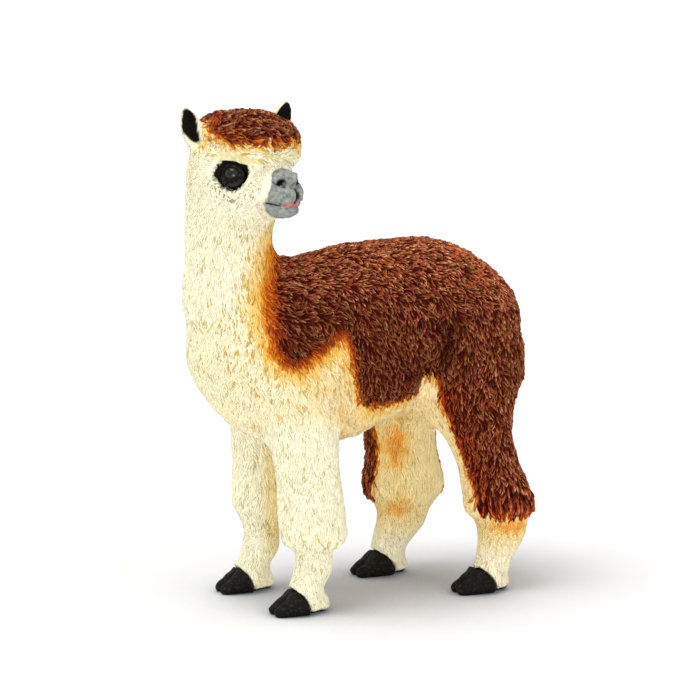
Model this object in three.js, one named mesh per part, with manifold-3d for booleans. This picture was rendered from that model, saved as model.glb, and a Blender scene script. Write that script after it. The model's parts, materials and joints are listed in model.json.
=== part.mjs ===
// Alpaca figurine: a standing toy alpaca, moulded in soft plastic and painted, with a carved fleece.
// Millimetres. X is forward, Y is to the animal's left and Z is up. The soles stand on Z = 0, and the
// origin is under the middle of the figurine.
//
// The flesh is a smooth field: named balls and tapered limbs that melt into each other. Every part is a
// loft whose rings are cast from a centre line out to that field, then trimmed where parts meet.
import * as THREE from 'three';
import { LoftGeometry } from 'three/addons/geometries/LoftGeometry.js';
import { mergeVertices } from 'three/addons/utils/BufferGeometryUtils.js';
import Module from 'manifold-3d';

// ---- Driving dimensions ------------------------------------------------------------------------------

const GAP = 0.25; // width of the thin cuts that part the body
const NECK_X = 26; // the upright neck's centre line
const HEAD_Z = 86.2; // height of the head's middle
const HEAD_YAW = 106; // degrees that the head is turned to the left
const FRONT_TRACK = 10.6; // half the distance between the front feet
const HIND_TRACK = 11; // the same for the hind feet
const COLLAR_Z = 63.4; // where the neck leaves the trunk, at the neck's centre line
const COLLAR_TILT = 32; // degrees that this cut leans back
const COLLAR_BACK = 16; // where it comes out behind the neck
const JAW_Z = 78.6; // where the head leaves the neck
const MUZZLE_X = 16; // how far ahead of the neck's centre line the grey muzzle begins
const EYE_RADIUS = 2.55;
const TOE_REACH = 9.5; // from a foot's place to its toes' tips
const HOOF_HEIGHT = 5.2;
const CLAWS = [1.6, -1.6]; // how far each claw lies to the side of its foot's middle

const radians = THREE.MathUtils.degToRad;
const point = (x, y, z) => new THREE.Vector3(x, y, z);

// ---- The field: signed distances of the masses and how they melt together -----------------------------

// An ellipsoid with its three radii along X, Y and Z.
function ball(at, radii, melt = 3) {
  const centre = point(...at);
  const size = point(...radii);
  const distance = (p) => {
    const q = p.clone().sub(centre);
    const near = q.clone().divide(size).length();
    const slope = q.divide(size).divide(size).length();
    return slope < 1e-9 ? -Math.min(...radii) : (near * (near - 1)) / slope;
  };
  return { distance, melt };
}

// A tapered limb with round ends. breadth stretches it sideways, along Y.
function limb(from, to, fromRadius, toRadius, { melt = 3, breadth = 1 } = {}) {
  const a = point(...from);
  const b = point(...to);
  const distance = (p) => {
    const q = p.clone();
    const rise = THREE.MathUtils.clamp((p.z - a.z) / (b.z - a.z || 1), 0, 1);
    const middle = THREE.MathUtils.lerp(a.y, b.y, rise);
    q.y = middle + (p.y - middle) / breadth;
    const axis = b.clone().sub(a);
    const share = THREE.MathUtils.clamp(q.clone().sub(a).dot(axis) / axis.lengthSq(), 0, 1);
    const radius = THREE.MathUtils.lerp(fromRadius, toRadius, share);
    return q.distanceTo(a.clone().addScaledVector(axis, share)) - radius;
  };
  return { distance, melt };
}

// The union of masses, each melting into those before it over its own distance.
function flesh(masses) {
  return (p) => masses.reduce((sofar, { distance, melt }) => {
    const d = distance(p);
    const overlap = Math.max(melt - Math.abs(sofar - d), 0);
    return Math.min(sofar, d) - (overlap * overlap) / (4 * melt);
  }, 1e3);
}

const within = (...fields) => (p) => Math.max(...fields.map((field) => field(p)));
const grown = (field, by) => (p) => field(p) - by;
const above = (z) => (p) => z - p.z;
const below = (z) => (p) => p.z - z;
const aheadOf = (x) => (p) => x - p.x;

// ---- Masses of the animal -----------------------------------------------------------------------------

const TRUNK = [
  ball([-4, 0, 54], [27, 15.6, 17.8], 4), // barrel
  ball([15.5, 0, 51.5], [15.5, 14.6, 16.8], 5), // shoulders
  ball([18.4, 0, 46.8], [10.9, 12.4, 12.8], 5), // breast
  ball([5, 0, 43.6], [15.6, 12.4, 12.4], 4), // belly
  ball([-17.4, 0, 55], [15.2, 15.4, 16.4], 5), // croup
];

const NECK = [
  limb([22.8, 0, 53], [NECK_X - 0.2, 0, 63], 11.4, 9, { melt: 6 }),
  limb([NECK_X - 0.2, 0, 63], [NECK_X, 0, 84], 9, 8.2, { melt: 3 }),
];

// One front leg, from the elbow down. stride moves it forward, most at the foot.
function frontLeg({ side, stride, heel, boot, hem }) {
  const top = 46;
  const at = (x, z, out = 0) => [x + stride * (1 - z / top), side * (FRONT_TRACK + out), z];
  return [
    limb(at(15.3, 44, -1), at(14.4, 32), 8, boot - 0.8, { melt: 5 }), // forearm
    limb(at(14.4, 32), at(13.4, 20), boot - 0.8, boot, { melt: 2 }), // fleece over the knee
    ball(at(13.1, hem), [boot + 0.1, boot, 4], 1), // hem of that fleece
    limb(at(13.1, 17), at(12.9, 9.5), 3.6, 3.4, { melt: 0.8 }), // cannon
    limb(at(12.9, 9.5), at(15.2, 4.4), 3.4, 3, { melt: 2 }), // pastern
    ...foot(side, heel + stride, FRONT_TRACK),
  ];
}

// One hind leg, from the haunch down.
function hindLeg({ side, stride, heel, boot, hem, cannon }) {
  const top = 65;
  const at = (x, z, out = 0) => [x + stride * (1 - z / top), side * (HIND_TRACK + out), z];
  return [
    limb(at(-22.3, 54, -5.4), at(-20.3, 38, -1), 11.5, 7.6, { melt: 6 }), // thigh
    ball(at(-24.2, 46, -3.4), [9.8, 8.4, 8.6], 4), // ham
    limb(at(-20.3, 38, -1), at(-21.2, 30), 7.4, boot - 1.4, { melt: 4 }), // shank
    limb(at(-21.2, 30), at(-23.4, 21.8), boot - 1.4, boot - 0.1, { melt: 3 }), // fleece over the hock
    ball(at(-23.9, hem), [boot + 1, boot - 0.2, 4.6], 1), // hem of that fleece
    limb(at(-24.7, 18), at(-24.4, 13), cannon, cannon - 0.6, { melt: 1 }), // cannon
    limb(at(-24.4, 13), at(-22, 7), cannon - 0.6, 3.8, { melt: 2 }), // pastern
    ...foot(side, heel + stride, HIND_TRACK),
  ];
}

// A two-toed foot whose pastern comes down at x: a heel pad and two claws.
const heelPad = (side, x, track) => limb(
  [x - 1.4, side * track, 1.6],
  [x + 2.8, side * track, 2.7],
  2.1,
  3.1,
  { melt: 2.2, breadth: 1.2 },
);
const claw = (side, x, track, spread) => limb(
  [x + 2.4, side * track + spread, 2.5],
  [x + 7.6, side * track + spread * 0.8, 0.9],
  2.9,
  1.4,
  { melt: 0.6 },
);
const foot = (side, x, track) => [
  heelPad(side, x, track),
  ...CLAWS.map((spread) => claw(side, x, track, spread)),
];

// How each leg stands: heel is where its foot comes down before the stride, boot the size of its fleece,
// hem the height where that is widest, and horn the length of the black part of the hoof.
const STANCES = {
  front_left: {
    build: frontLeg, side: 1, stride: -0.4, track: FRONT_TRACK,
    heel: 13.2, boot: 7.1, hem: 16.2, horn: 7.8,
  },
  front_right: {
    build: frontLeg, side: -1, stride: 2, track: FRONT_TRACK,
    heel: 13.2, boot: 6.3, hem: 18, horn: 7.4,
  },
  hind_left: {
    build: hindLeg, side: 1, stride: -6.4, track: HIND_TRACK,
    heel: -21.2, boot: 6.9, hem: 18.2, cannon: 5.2, horn: 9,
  },
  hind_right: {
    build: hindLeg, side: -1, stride: 7.8, track: HIND_TRACK,
    heel: -23.4, boot: 8.2, hem: 18.2, cannon: 5.5, horn: 9.2,
  },
};
const LEGS = {};
for (const [name, stance] of Object.entries(STANCES)) LEGS[name] = stance.build(stance);

// The head's own frame: X runs to the nose, Y to the head's left, Z up, from the neck's centre line.
const headFrame = new THREE.Matrix4()
  .makeRotationZ(radians(HEAD_YAW))
  .setPosition(NECK_X, 0, HEAD_Z);
const toHead = headFrame.clone().invert();
const farInHead = (p) => p.clone().applyMatrix4(toHead).x;
const inHead = ({ distance, melt }) => ({ distance: (p) => distance(p.clone().applyMatrix4(toHead)), melt });

const SKULL = [
  limb([0, 0, -12], [1, 0, 1], 8.1, 7.6, { melt: 2 }), // nape
  ball([1.9, 0, 2], [8.9, 8, 8], 2), // cranium
  ball([4.6, 3, -3], [7.2, 5, 6.6], 3), // left cheek
  ball([4.6, -3, -3], [7.2, 5, 6.6], 3), // right cheek
  limb([8, 0, 0], [16, 0, -1.4], 5.4, 3.5, { melt: 4 }), // bridge of the nose
  limb([6, 0, -4.4], [15.4, 0, -4.2], 4.8, 2.9, { melt: 3 }), // jaw
  ball([8.4, 4.6, 2.2], [3.4, 2.2, 2.2], 2), // left brow
  ball([8.4, -4.6, 2.2], [3.4, 2.2, 2.2], 2), // right brow
  limb([1.6, 6, 1], [2.2, 8.4, 6.4], 4, 2.6, { melt: 3 }), // root of the left ear
  limb([1.6, -6, 1], [2.2, -8.4, 6.4], 4, 2.6, { melt: 3 }), // root of the right ear
].map(inHead);
const LIPS = [
  limb([13, 0, -0.2], [17.2, 0, 0.1], 3.4, 2.1, { melt: 1.5 }), // nose
  ball([17.9, 1.15, -2], [2.4, 1.9, 2.5], 1.2), // left upper lip
  ball([17.9, -1.15, -2], [2.4, 1.9, 2.5], 1.2), // right upper lip
  ball([17, 0, -5], [2.6, 2.8, 2], 0.6), // lower lip
].map(inHead);
const TOPKNOT = [
  ball([2.8, 0, 7.6], [9.6, 9.2, 5.5], 2), // crown
  ball([9.8, 0, 7.2], [6.7, 9, 4.6], 4), // fringe
  ball([11.6, 4.6, 5], [3.5, 3.5, 4], 1.2), // its left lobe
].map(inHead);
const TAIL = [
  limb([-30.8, 0, 61.5], [-33.6, 0, 52], 2.4, 3.4, { melt: 2, breadth: 1.3 }),
  limb([-33.6, 0, 52], [-34.2, 0, 45.5], 3.3, 2.4, { melt: 3, breadth: 1.3 }),
];

const headField = flesh([...NECK, ...SKULL, ...LIPS]);

// ---- Casting rings on the field, and lofting them -----------------------------------------------------

// How far the field reaches from a point along a direction, up to a limit.
function reach(field, from, direction, limit = 60) {
  const step = 0.4;
  let far = 0;
  while (far < limit && field(from.clone().addScaledVector(direction, far)) < 0) far += step;
  let near = Math.max(far - step, 0);
  far = Math.min(far, limit);
  for (let halving = 0; halving < 14; halving++) {
    const middle = (near + far) / 2;
    if (field(from.clone().addScaledVector(direction, middle)) < 0) near = middle;
    else far = middle;
  }
  return near;
}

// A loft along a curve, run on past both ends of the curve as far as the field goes. Each ring is spanned
// by two directions. rings is a number of rings, which draw together at the ends, or their distances.
function cast(field, curve, across, up, rings, columns) {
  const length = curve.getLength();
  const leaving = curve.getTangent(0).negate();
  const arriving = curve.getTangent(1);
  const before = reach(field, curve.getPoint(0), leaving);
  const after = reach(field, curve.getPoint(1), arriving);
  const centreAt = (distance) => {
    if (distance < 0) return curve.getPoint(0).addScaledVector(leaving, -distance);
    if (distance > length) return curve.getPoint(1).addScaledVector(arriving, distance - length);
    return curve.getPointAt(distance / length);
  };
  const eased = (i) => (1 - Math.cos((Math.PI * (i + 0.35)) / (rings + 0.7))) / 2;
  const stops = Array.isArray(rings)
    ? rings
    : Array.from({ length: rings + 1 }, (_, i) => eased(i) * (before + length + after) - before);
  const sections = [];
  for (const stop of stops) {
    const centre = centreAt(stop);
    const ring = [];
    for (let j = 0; j < columns; j++) {
      const angle = (2 * Math.PI * j) / columns;
      const direction = across.clone().multiplyScalar(Math.cos(angle)).addScaledVector(up, Math.sin(angle));
      ring.push(centre.clone().addScaledVector(direction, reach(field, centre, direction)));
    }
    sections.push(ring);
  }
  return new LoftGeometry(sections, { capStart: true, capEnd: true });
}

const through = (...points) => new THREE.CatmullRomCurve3(points);

const X = point(1, 0, 0);
const Y = point(0, 1, 0);
const Z = point(0, 0, 1);

// ---- Solids: trimming with manifold-3d ----------------------------------------------------------------

const wasm = await Module();
wasm.setup();

function solid(geometry) {
  const bare = new THREE.BufferGeometry();
  bare.setAttribute('position', geometry.getAttribute('position'));
  bare.setIndex(geometry.index);
  const merged = mergeVertices(bare, 1e-4);
  return new wasm.Manifold(new wasm.Mesh({
    numProp: 3,
    vertProperties: merged.attributes.position.array,
    triVerts: new Uint32Array(merged.index.array),
  }));
}

function geometryOf(body) {
  const { numProp, numVert, vertProperties, triVerts } = body.getMesh();
  const positions = new Float32Array(numVert * 3);
  for (let i = 0; i < numVert; i++) {
    positions.set(vertProperties.subarray(i * numProp, i * numProp + 3), i * 3);
  }
  const geometry = new THREE.BufferGeometry();
  geometry.setAttribute('position', new THREE.BufferAttribute(positions, 3));
  geometry.setIndex(new THREE.BufferAttribute(triVerts, 1));
  return geometry;
}

function block(low, high) {
  const size = high.clone().sub(low);
  const centre = low.clone().add(high).multiplyScalar(0.5);
  return new THREE.BoxGeometry(size.x, size.y, size.z).translate(centre.x, centre.y, centre.z);
}

function oval(centre, radii, across = 20, down = 10) {
  return new THREE.SphereGeometry(1, across, down).scale(...radii).translate(...centre);
}

// The space above a tilted cut through (x, 0, z). Positive gap moves the cut up.
function spaceAbove(x, z, tilt, gap = 0) {
  const half = 60;
  return solid(new THREE.BoxGeometry(2 * half, 2 * half, 2 * half)
    .translate(0, 0, half + gap)
    .rotateY(radians(tilt))
    .translate(x, 0, z));
}

// The space that belongs to a leg: an oval dome let into the trunk, and everything under it.
const ELBOW = { dome: [15, 11.4, 32], radii: [8.4, 8.8, 11], back: 2, ahead: 34, under: 30.6 };
const STIFLE = { dome: [-21.5, 12.2, 42], radii: [13.5, 9.8, 17.5], back: -44, ahead: -6, under: 33.4 };
function legSpace(name, grow = 0) {
  const { side, stride, build } = STANCES[name];
  const root = build === frontLeg ? ELBOW : STIFLE;
  const [x, y, z] = root.dome;
  const inner = 0.4 - grow;
  const outer = 26;
  const low = point(root.back - grow, side > 0 ? inner : -outer, -10);
  const high = point(root.ahead + grow, side > 0 ? outer : -inner, root.under + grow);
  const shift = build === frontLeg ? 0 : stride * 0.25;
  return solid(oval([x + shift, side * y, z], root.radii.map((r) => r + grow))).add(solid(block(low, high)));
}

// The space of a hoof: a wide oval round the toes, whose back wall curves down to the sole.
function hoofSpace(name, grow = 0) {
  const { side, stride, track, heel, horn } = STANCES[name];
  const radii = [horn / 2 + grow, 8 + grow, HOOF_HEIGHT + grow];
  return solid(oval([heel + stride + TOE_REACH - horn / 2, side * track, 0], radii, 16, 8));
}

// ---- Parts --------------------------------------------------------------------------------------------

const tailLine = through(point(-34.1, 0, 46.5), point(-33.4, 0, 52.5), point(-31, 0, 61));
const tailSolid = (grow = 0) => solid(cast(grown(flesh(TAIL), grow), tailLine, X, Y, 9, 12));

function trunkSolid() {
  const upper = flesh([
    ...TRUNK,
    ...NECK,
    ...Object.values(LEGS).flatMap((masses) => masses.slice(0, 1)),
  ]);
  const cutTop = (p) => (p.z - COLLAR_Z - 3) * Math.cos(radians(COLLAR_TILT))
    + (p.x - NECK_X) * Math.sin(radians(COLLAR_TILT));
  const field = within(upper, cutTop, above(30.9));
  let body = solid(cast(field, through(point(-20, 0, 53), point(20, 0, 51)), Y, Z, 18, 22));
  body = body.subtract(spaceAbove(NECK_X, COLLAR_Z, COLLAR_TILT, 0));
  for (const name of Object.keys(STANCES)) body = body.subtract(legSpace(name, GAP));
  return body.subtract(tailSolid(GAP));
}

function neckSolid() {
  const field = within(
    flesh([...TRUNK, ...NECK, ...SKULL]),
    above(COLLAR_Z - 14),
    below(JAW_Z + 2),
    aheadOf(COLLAR_BACK),
  );
  const column = solid(cast(field, through(point(NECK_X - 1, 0, 62), point(NECK_X, 0, 76)), X, Y, 12, 22));
  return column
    .intersect(spaceAbove(NECK_X, COLLAR_Z, COLLAR_TILT, GAP))
    .subtract(spaceAbove(NECK_X, JAW_Z, 0, 0));
}

// Heights of a leg's rings, from below the sole to its top, closest round the hem of the fleece.
function ringHeights(hem, top) {
  const foot = Array.from({ length: 7 }, (_, i) => -0.2 + (hem - 4.2) * (i / 7) ** 1.1);
  const fleece = Array.from({ length: 4 }, (_, i) => hem - 3.8 + 1.6 * i);
  const rise = Array.from({ length: 7 }, (_, i) => hem + 2 + ((top - hem - 3) * (i + 1)) / 7);
  return [...foot, ...fleece, ...rise];
}

function legSolid(name) {
  const { side, stride, track, heel, hem } = STANCES[name];
  const front = STANCES[name].build === frontLeg;
  const nearby = flesh([...TRUNK, ...LEGS[name]]);
  const y = side * track;
  const line = front
    ? through(point(heel + stride, y, 1.4), point(13.2 + stride * 0.6, y, 18), point(14.6, y * 0.97, 38))
    : through(point(heel + stride, y, 1.4), point(-23 + stride * 0.7, y, 18), point(-21, y * 0.9, 50));
  const top = front ? 45 : 61;
  const close = grown(flesh(LEGS[name]), 4);
  const field = within(nearby, close, above(-2), below(top), (p) => 0.2 - side * p.y);
  const [start, end] = [line.getPoint(0), line.getPoint(1)];
  const stops = ringHeights(hem, top)
    .map((z) => ((z - start.z) * line.getLength()) / (end.z - start.z));
  return solid(cast(field, line, X, Y, stops, 14))
    .intersect(legSpace(name))
    .intersect(spaceAbove(0, 0, 0))
    .subtract(hoofSpace(name, GAP));
}

function hoofSolid(name) {
  const { side, stride, track, heel } = STANCES[name];
  const x = heel + stride;
  const y = side * track;
  const halves = CLAWS.map((spread) => {
    const field = flesh([heelPad(side, x, track), claw(side, x, track, spread)]);
    const line = through(point(x + 1, y + spread * 0.4, 2), point(x + 6.5, y + spread * 0.9, 1.2));
    return solid(cast(field, line, Y, Z, 7, 10));
  });
  return halves[0].add(halves[1]).intersect(hoofSpace(name)).intersect(spaceAbove(0, 0, 0));
}

const headAcross = point(0, 1, 0).transformDirection(headFrame);
const headPoint = (x, y, z) => point(x, y, z).applyMatrix4(headFrame);

const EYES = { eye_left: 1, eye_right: -1 };
const eyeCentre = (side) => headPoint(8.9, side * 5.3, 0.8);
const eyeBall = (side, grow = 0) => {
  const c = eyeCentre(side);
  return solid(oval([c.x, c.y, c.z], Array(3).fill(EYE_RADIUS + grow), 12, 7));
};

const muzzleCut = (gap) => solid(
  new THREE.BoxGeometry(40, 40, 40)
    .translate(20 + gap, 0, 0)
    .rotateY(radians(6))
    .translate(MUZZLE_X, 0, -2)
    .applyMatrix4(headFrame),
);

const EARS = { ear_left: 1, ear_right: -1 };
const EAR = { thick: 1.5, wide: 2.7, tall: 5.3, lean: 29, turn: -8, place: [2.6, 10.7, 9.5] };

// A pointed oval leaf that grows along Z.
function leaf(thick, wide, tall) {
  const geometry = new THREE.SphereGeometry(1, 10, 8);
  const positions = geometry.getAttribute('position');
  for (let i = 0; i < positions.count; i++) {
    const z = positions.getZ(i);
    const narrow = z > 0 ? 1 - 0.42 * z * z : 1;
    positions.setXYZ(i, positions.getX(i) * thick * narrow, positions.getY(i) * wide * narrow, z * tall);
  }
  return geometry;
}

const earGeometry = (side, grow = 0) => (
  leaf(EAR.thick + grow, EAR.wide + grow, EAR.tall + grow).applyMatrix4(earFrame(side))
);
const earHollow = (side) => (
  leaf(EAR.thick, EAR.wide - 0.7, EAR.tall - 1.3).translate(1.3, 0, 0.7).applyMatrix4(earFrame(side))
);
function earFrame(side) {
  const lean = new THREE.Matrix4().makeRotationX(radians(-EAR.lean * side));
  const turn = new THREE.Matrix4().makeRotationZ(radians(EAR.turn * side));
  const [ahead, out, rise] = EAR.place;
  const place = new THREE.Matrix4().setPosition(ahead, side * out, rise);
  return headFrame.clone().multiply(place).multiply(turn).multiply(lean);
}

// The whole head with its muzzle's root, thickened all over by grow.
function skullSolid(grow = 0) {
  const field = within(grown(headField, grow), above(JAW_Z - 5), (p) => farInHead(p) - MUZZLE_X - 3);
  return solid(cast(field, through(headPoint(-2, 0, 0), headPoint(13, 0, -2)), headAcross, Z, 13, 20));
}

function headSolid() {
  let head = skullSolid().intersect(spaceAbove(NECK_X, JAW_Z, 0, GAP)).subtract(muzzleCut(0));
  for (const side of Object.values(EYES)) head = head.subtract(eyeBall(side, GAP));
  for (const side of Object.values(EARS)) head = head.subtract(solid(earGeometry(side, GAP)));
  return head;
}

function muzzleSolid() {
  const field = within(headField, (p) => MUZZLE_X - 2 - farInHead(p));
  return solid(cast(field, through(headPoint(15, 0, -2), headPoint(17.5, 0, -2.2)), headAcross, Z, 11, 18))
    .intersect(muzzleCut(GAP));
}

function topknotSolid() {
  const crown = through(headPoint(0, 0, 7), headPoint(10, 0, 6));
  let fleece = solid(cast(flesh(TOPKNOT), crown, headAcross, Z, 10, 18)).subtract(skullSolid(2 * GAP));
  for (const side of Object.values(EARS)) fleece = fleece.subtract(solid(earGeometry(side, GAP)));
  return fleece;
}

// ---- Paint, and the exported group --------------------------------------------------------------------

const PAINT = {
  cream: { color: 0xf2e2b8, roughness: 0.6 },
  brown: { color: 0x5a2c1c, roughness: 0.6 },
  grey: { color: 0x8f9296, roughness: 0.55 },
  black: { color: 0x191816, roughness: 0.4 },
  gloss: { color: 0x0b0908, roughness: 0.12 },
};
const paint = {};
for (const [name, look] of Object.entries(PAINT)) {
  paint[name] = new THREE.MeshStandardMaterial({ ...look, metalness: 0 });
}

const alpaca = new THREE.Group();
function add(name, body, material) {
  const mesh = new THREE.Mesh(geometryOf(body), material);
  mesh.name = name;
  alpaca.add(mesh);
}

add('trunk', trunkSolid(), paint.brown);
add('neck', neckSolid(), paint.cream);
add('head', headSolid(), paint.cream);
add('muzzle', muzzleSolid(), paint.grey);
add('topknot', topknotSolid(), paint.brown);
add('tail', tailSolid(), paint.brown);
for (const name of Object.keys(STANCES)) {
  add(`leg_${name}`, legSolid(name), name.startsWith('front') ? paint.cream : paint.brown);
  add(`hoof_${name}`, hoofSolid(name), paint.black);
}
for (const [name, side] of Object.entries(EYES)) add(name, eyeBall(side), paint.gloss);
for (const [name, side] of Object.entries(EARS)) {
  add(name, solid(earGeometry(side)).subtract(solid(earHollow(side))), paint.cream);
}

// The origin goes under the middle of the figurine's box.
const box = new THREE.Box3().setFromObject(alpaca);
const middle = box.getCenter(new THREE.Vector3());
alpaca.position.set(-middle.x, -middle.y, -box.min.z);

export default alpaca;
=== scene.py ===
"""Toy alpaca figurine: the painted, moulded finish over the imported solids.

One skin stands for all the flesh. Carved locks of fleece lie over it, and the eyes and the hooves are
pieces of their own. Lengths inside the functions are millimetres, in the frame of the solids.
"""

import json
import math

import bpy
import numpy as np
from bpy.props import FloatProperty, FloatVectorProperty, IntProperty, PointerProperty
from mathutils import Matrix, Vector
from mathutils.bvhtree import BVHTree
from mathutils.kdtree import KDTree

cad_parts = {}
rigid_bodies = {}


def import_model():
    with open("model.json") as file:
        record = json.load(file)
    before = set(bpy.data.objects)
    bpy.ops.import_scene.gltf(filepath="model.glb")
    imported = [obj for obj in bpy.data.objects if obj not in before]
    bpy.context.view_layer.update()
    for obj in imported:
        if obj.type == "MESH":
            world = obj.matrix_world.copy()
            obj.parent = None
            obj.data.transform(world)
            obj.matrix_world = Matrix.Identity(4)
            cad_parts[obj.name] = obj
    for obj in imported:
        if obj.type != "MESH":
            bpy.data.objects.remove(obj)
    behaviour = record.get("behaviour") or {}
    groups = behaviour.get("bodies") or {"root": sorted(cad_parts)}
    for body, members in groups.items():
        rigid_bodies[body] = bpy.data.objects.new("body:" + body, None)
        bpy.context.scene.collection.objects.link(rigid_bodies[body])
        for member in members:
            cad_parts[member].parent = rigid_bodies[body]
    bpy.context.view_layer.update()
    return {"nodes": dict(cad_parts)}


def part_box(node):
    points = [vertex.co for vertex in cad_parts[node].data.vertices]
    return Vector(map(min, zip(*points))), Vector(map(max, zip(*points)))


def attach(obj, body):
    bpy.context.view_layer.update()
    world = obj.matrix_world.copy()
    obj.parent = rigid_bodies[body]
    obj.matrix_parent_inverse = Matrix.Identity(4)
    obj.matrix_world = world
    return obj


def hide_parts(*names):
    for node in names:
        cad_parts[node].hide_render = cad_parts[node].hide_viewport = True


bl_info = {
    "name": "Toy alpaca figurine",
    "version": (1, 0, 0),
    "blender": (4, 5, 0),
    "location": "View3D > Sidebar > Figurine",
    "description": "Skin, carved fleece, face, hooves and stage of a painted toy alpaca",
    "category": "Object",
}

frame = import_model()
MM = 0.001
MOST_TRIANGLES = 200000  # in one piece
CANDIDATES = 210000  # places that are tried as roots of locks
TINT_SEED = 77
DOUBLES = 0.0005  # corners nearer to each other than this are one
CLAW_VOXEL = 0.2
SKIN_ROUNDS = 14  # of smoothing over the whole skin
JOIN_ROUNDS = 42  # and over its joins


# ---- Where things are, from the solids ----


def centre_of(node):
    """Middle of a solid's box, in millimetres."""
    low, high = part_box(node)
    return np.array((low + high) / 2) / MM


SIDES = {"left": 1, "right": -1}
LEGS = ("front_left", "front_right", "hind_left", "hind_right")
FORE_LEGS = ("leg_front_left", "leg_front_right")
HIND_LEGS = ("leg_hind_left", "leg_hind_right")
EARS = ("ear_left", "ear_right")
FLESH = ("trunk", "neck", "head", "muzzle", "topknot", "tail", *FORE_LEGS, *HIND_LEGS, *EARS)
OWNER = {name: index for index, name in enumerate(FLESH)}
UP = np.array([0.0, 0.0, 1.0])
EYES = {side: centre_of(f"eye_{side}") for side in SIDES}
EYE_AHEAD = 8.9  # how far the eyes sit ahead of the middle of the skull
EYE_RISE = 0.8  # and above it
EYE_RADIUS = 2.55
HEAD_LEFT = EYES["left"] - EYES["right"]
HEAD_LEFT = HEAD_LEFT / np.linalg.norm(HEAD_LEFT)
HEAD_AHEAD = np.array([HEAD_LEFT[1], -HEAD_LEFT[0], 0.0])
SKULL = (EYES["left"] + EYES["right"]) / 2 - EYE_AHEAD * HEAD_AHEAD - EYE_RISE * UP
EAR_PLACE = np.array([2.6, 10.7, 9.5])  # ahead of, beside and above the middle of the skull
EAR_LEAN = math.radians(29)
EAR_TURN = math.radians(-8)
JAW_Z = 78.6
EYE_PATCH = (9.5, 1.45)  # middle of the black round an eye, ahead of and above the skull's middle
EYE_FOLDS = (9.2, 1.0)  # middle of the folds and the strokes round it
EYE_LEFT = 2.5  # what lies further than this from the middle of the face is beside an eye
EYE_EDGE = 9.5  # and the skull's side ends here
MID_Y = (centre_of("hoof_front_left")[1] + centre_of("hoof_front_right")[1]) / 2
HIND_TRACK = 11.0  # how far the hind legs stand from the middle
HOOVES = {leg: centre_of(f"hoof_{leg}") for leg in LEGS}
HIND_STRIDE = {"hind_left": -6.4, "hind_right": 7.8}


# ---- Small mathematics ----


def step(low, high, x):
    """Smooth rise from 0 at low to 1 at high."""
    t = np.clip((x - low) / (high - low), 0.0, 1.0)
    return t * t * (3 - 2 * t)


def bump(x, middle, width):
    """A bell of height 1 round the middle."""
    return np.exp(-(((x - middle) / width) ** 2))


def unit(v):
    return v / np.maximum(np.linalg.norm(v, axis=-1, keepdims=True), 1e-9)


def blend(a, b, t):
    """From a to b, row by row."""
    t = np.asarray(t)[..., None]
    return np.asarray(a) * (1 - t) + np.asarray(b) * t


def ripple(p, wavelength, seed, waves=18):
    """A smooth random field, about -1 to 1, made of plane waves in many directions."""
    rng = np.random.default_rng(seed)
    way = unit(rng.normal(size=(waves, 3)))
    pitch = 2 * np.pi / (wavelength * rng.uniform(0.7, 1.5, waves))
    phase = rng.uniform(0, 2 * np.pi, waves)
    total = np.zeros(len(p))
    for k in range(waves):
        total += np.sin(p @ way[k] * pitch[k] + phase[k])
    return total * math.sqrt(2 / waves) * 0.6


def on(owner, *names):
    """Which points belong to any of the named solids."""
    return np.isin(owner, [OWNER[name] for name in names])


def head_place(p):
    """How far each point is ahead of, to the left of and above the middle of the skull."""
    q = p - SKULL
    return q @ HEAD_AHEAD, q @ HEAD_LEFT, q[:, 2]


def head_vector(ahead, left, rise):
    return ahead * HEAD_AHEAD + left * HEAD_LEFT + rise * UP


def ear_axes(sign):
    """The ear's place, the way it faces, its side and the way it grows."""
    face = head_vector(math.cos(EAR_TURN), math.sin(EAR_TURN) * sign, 0)
    across = head_vector(-math.sin(EAR_TURN) * sign, math.cos(EAR_TURN), 0)
    tall = math.cos(EAR_LEAN) * UP + math.sin(EAR_LEAN) * sign * across
    side = math.cos(EAR_LEAN) * across - math.sin(EAR_LEAN) * sign * UP
    place = SKULL + head_vector(EAR_PLACE[0], EAR_PLACE[1] * sign, EAR_PLACE[2])
    return place, face, side, tall


def srgb(red, green, blue):
    """A colour written in 0 to 255, as Blender's linear one."""
    return tuple(
        c / 12.92 if c <= 0.04045 else ((c + 0.055) / 1.055) ** 2.4
        for c in (red / 255, green / 255, blue / 255)
    )


# ---- Settings ----


def length(label, text, default):
    return FloatProperty(name=label, description=text, default=default, unit="LENGTH", precision=5)


def colour(label, text, *rgb):
    limits = {"size": 3, "min": 0, "max": 1}
    return FloatVectorProperty(name=label, description=text, default=srgb(*rgb), subtype="COLOR", **limits)


def angle(label, text, degrees):
    return FloatProperty(name=label, description=text, default=math.radians(degrees), subtype="ANGLE")


class FIGURINE_PG_skin(bpy.types.PropertyGroup):
    voxel: length("Grain", "Edge length of the skin's first mesh", 0.0006)
    swell: length("Swell", "How far the solids grow to close the cuts between them", 0.0002)
    coat_depth: length("Coat depth", "How deep the skin lies under the fleece", 0.0005)
    lid: length("Lid", "How thick an eyelid is", 0.0004)


class FIGURINE_PG_coat(bpy.types.PropertyGroup):
    length: length("Lock length", "Length of a lock on the flank", 0.0023)
    width: length("Lock width", "Width of a lock on the flank", 0.00068)
    height: length("Lock height", "Height of a lock's ridge on the flank", 0.00044)
    spacing: FloatProperty(
        name="Spacing",
        description="Distance between roots, as a share of a lock's size",
        default=0.41,
        subtype="FACTOR",
    )
    seed: IntProperty(name="Seed", description="Which scatter of locks", default=11)


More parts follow.
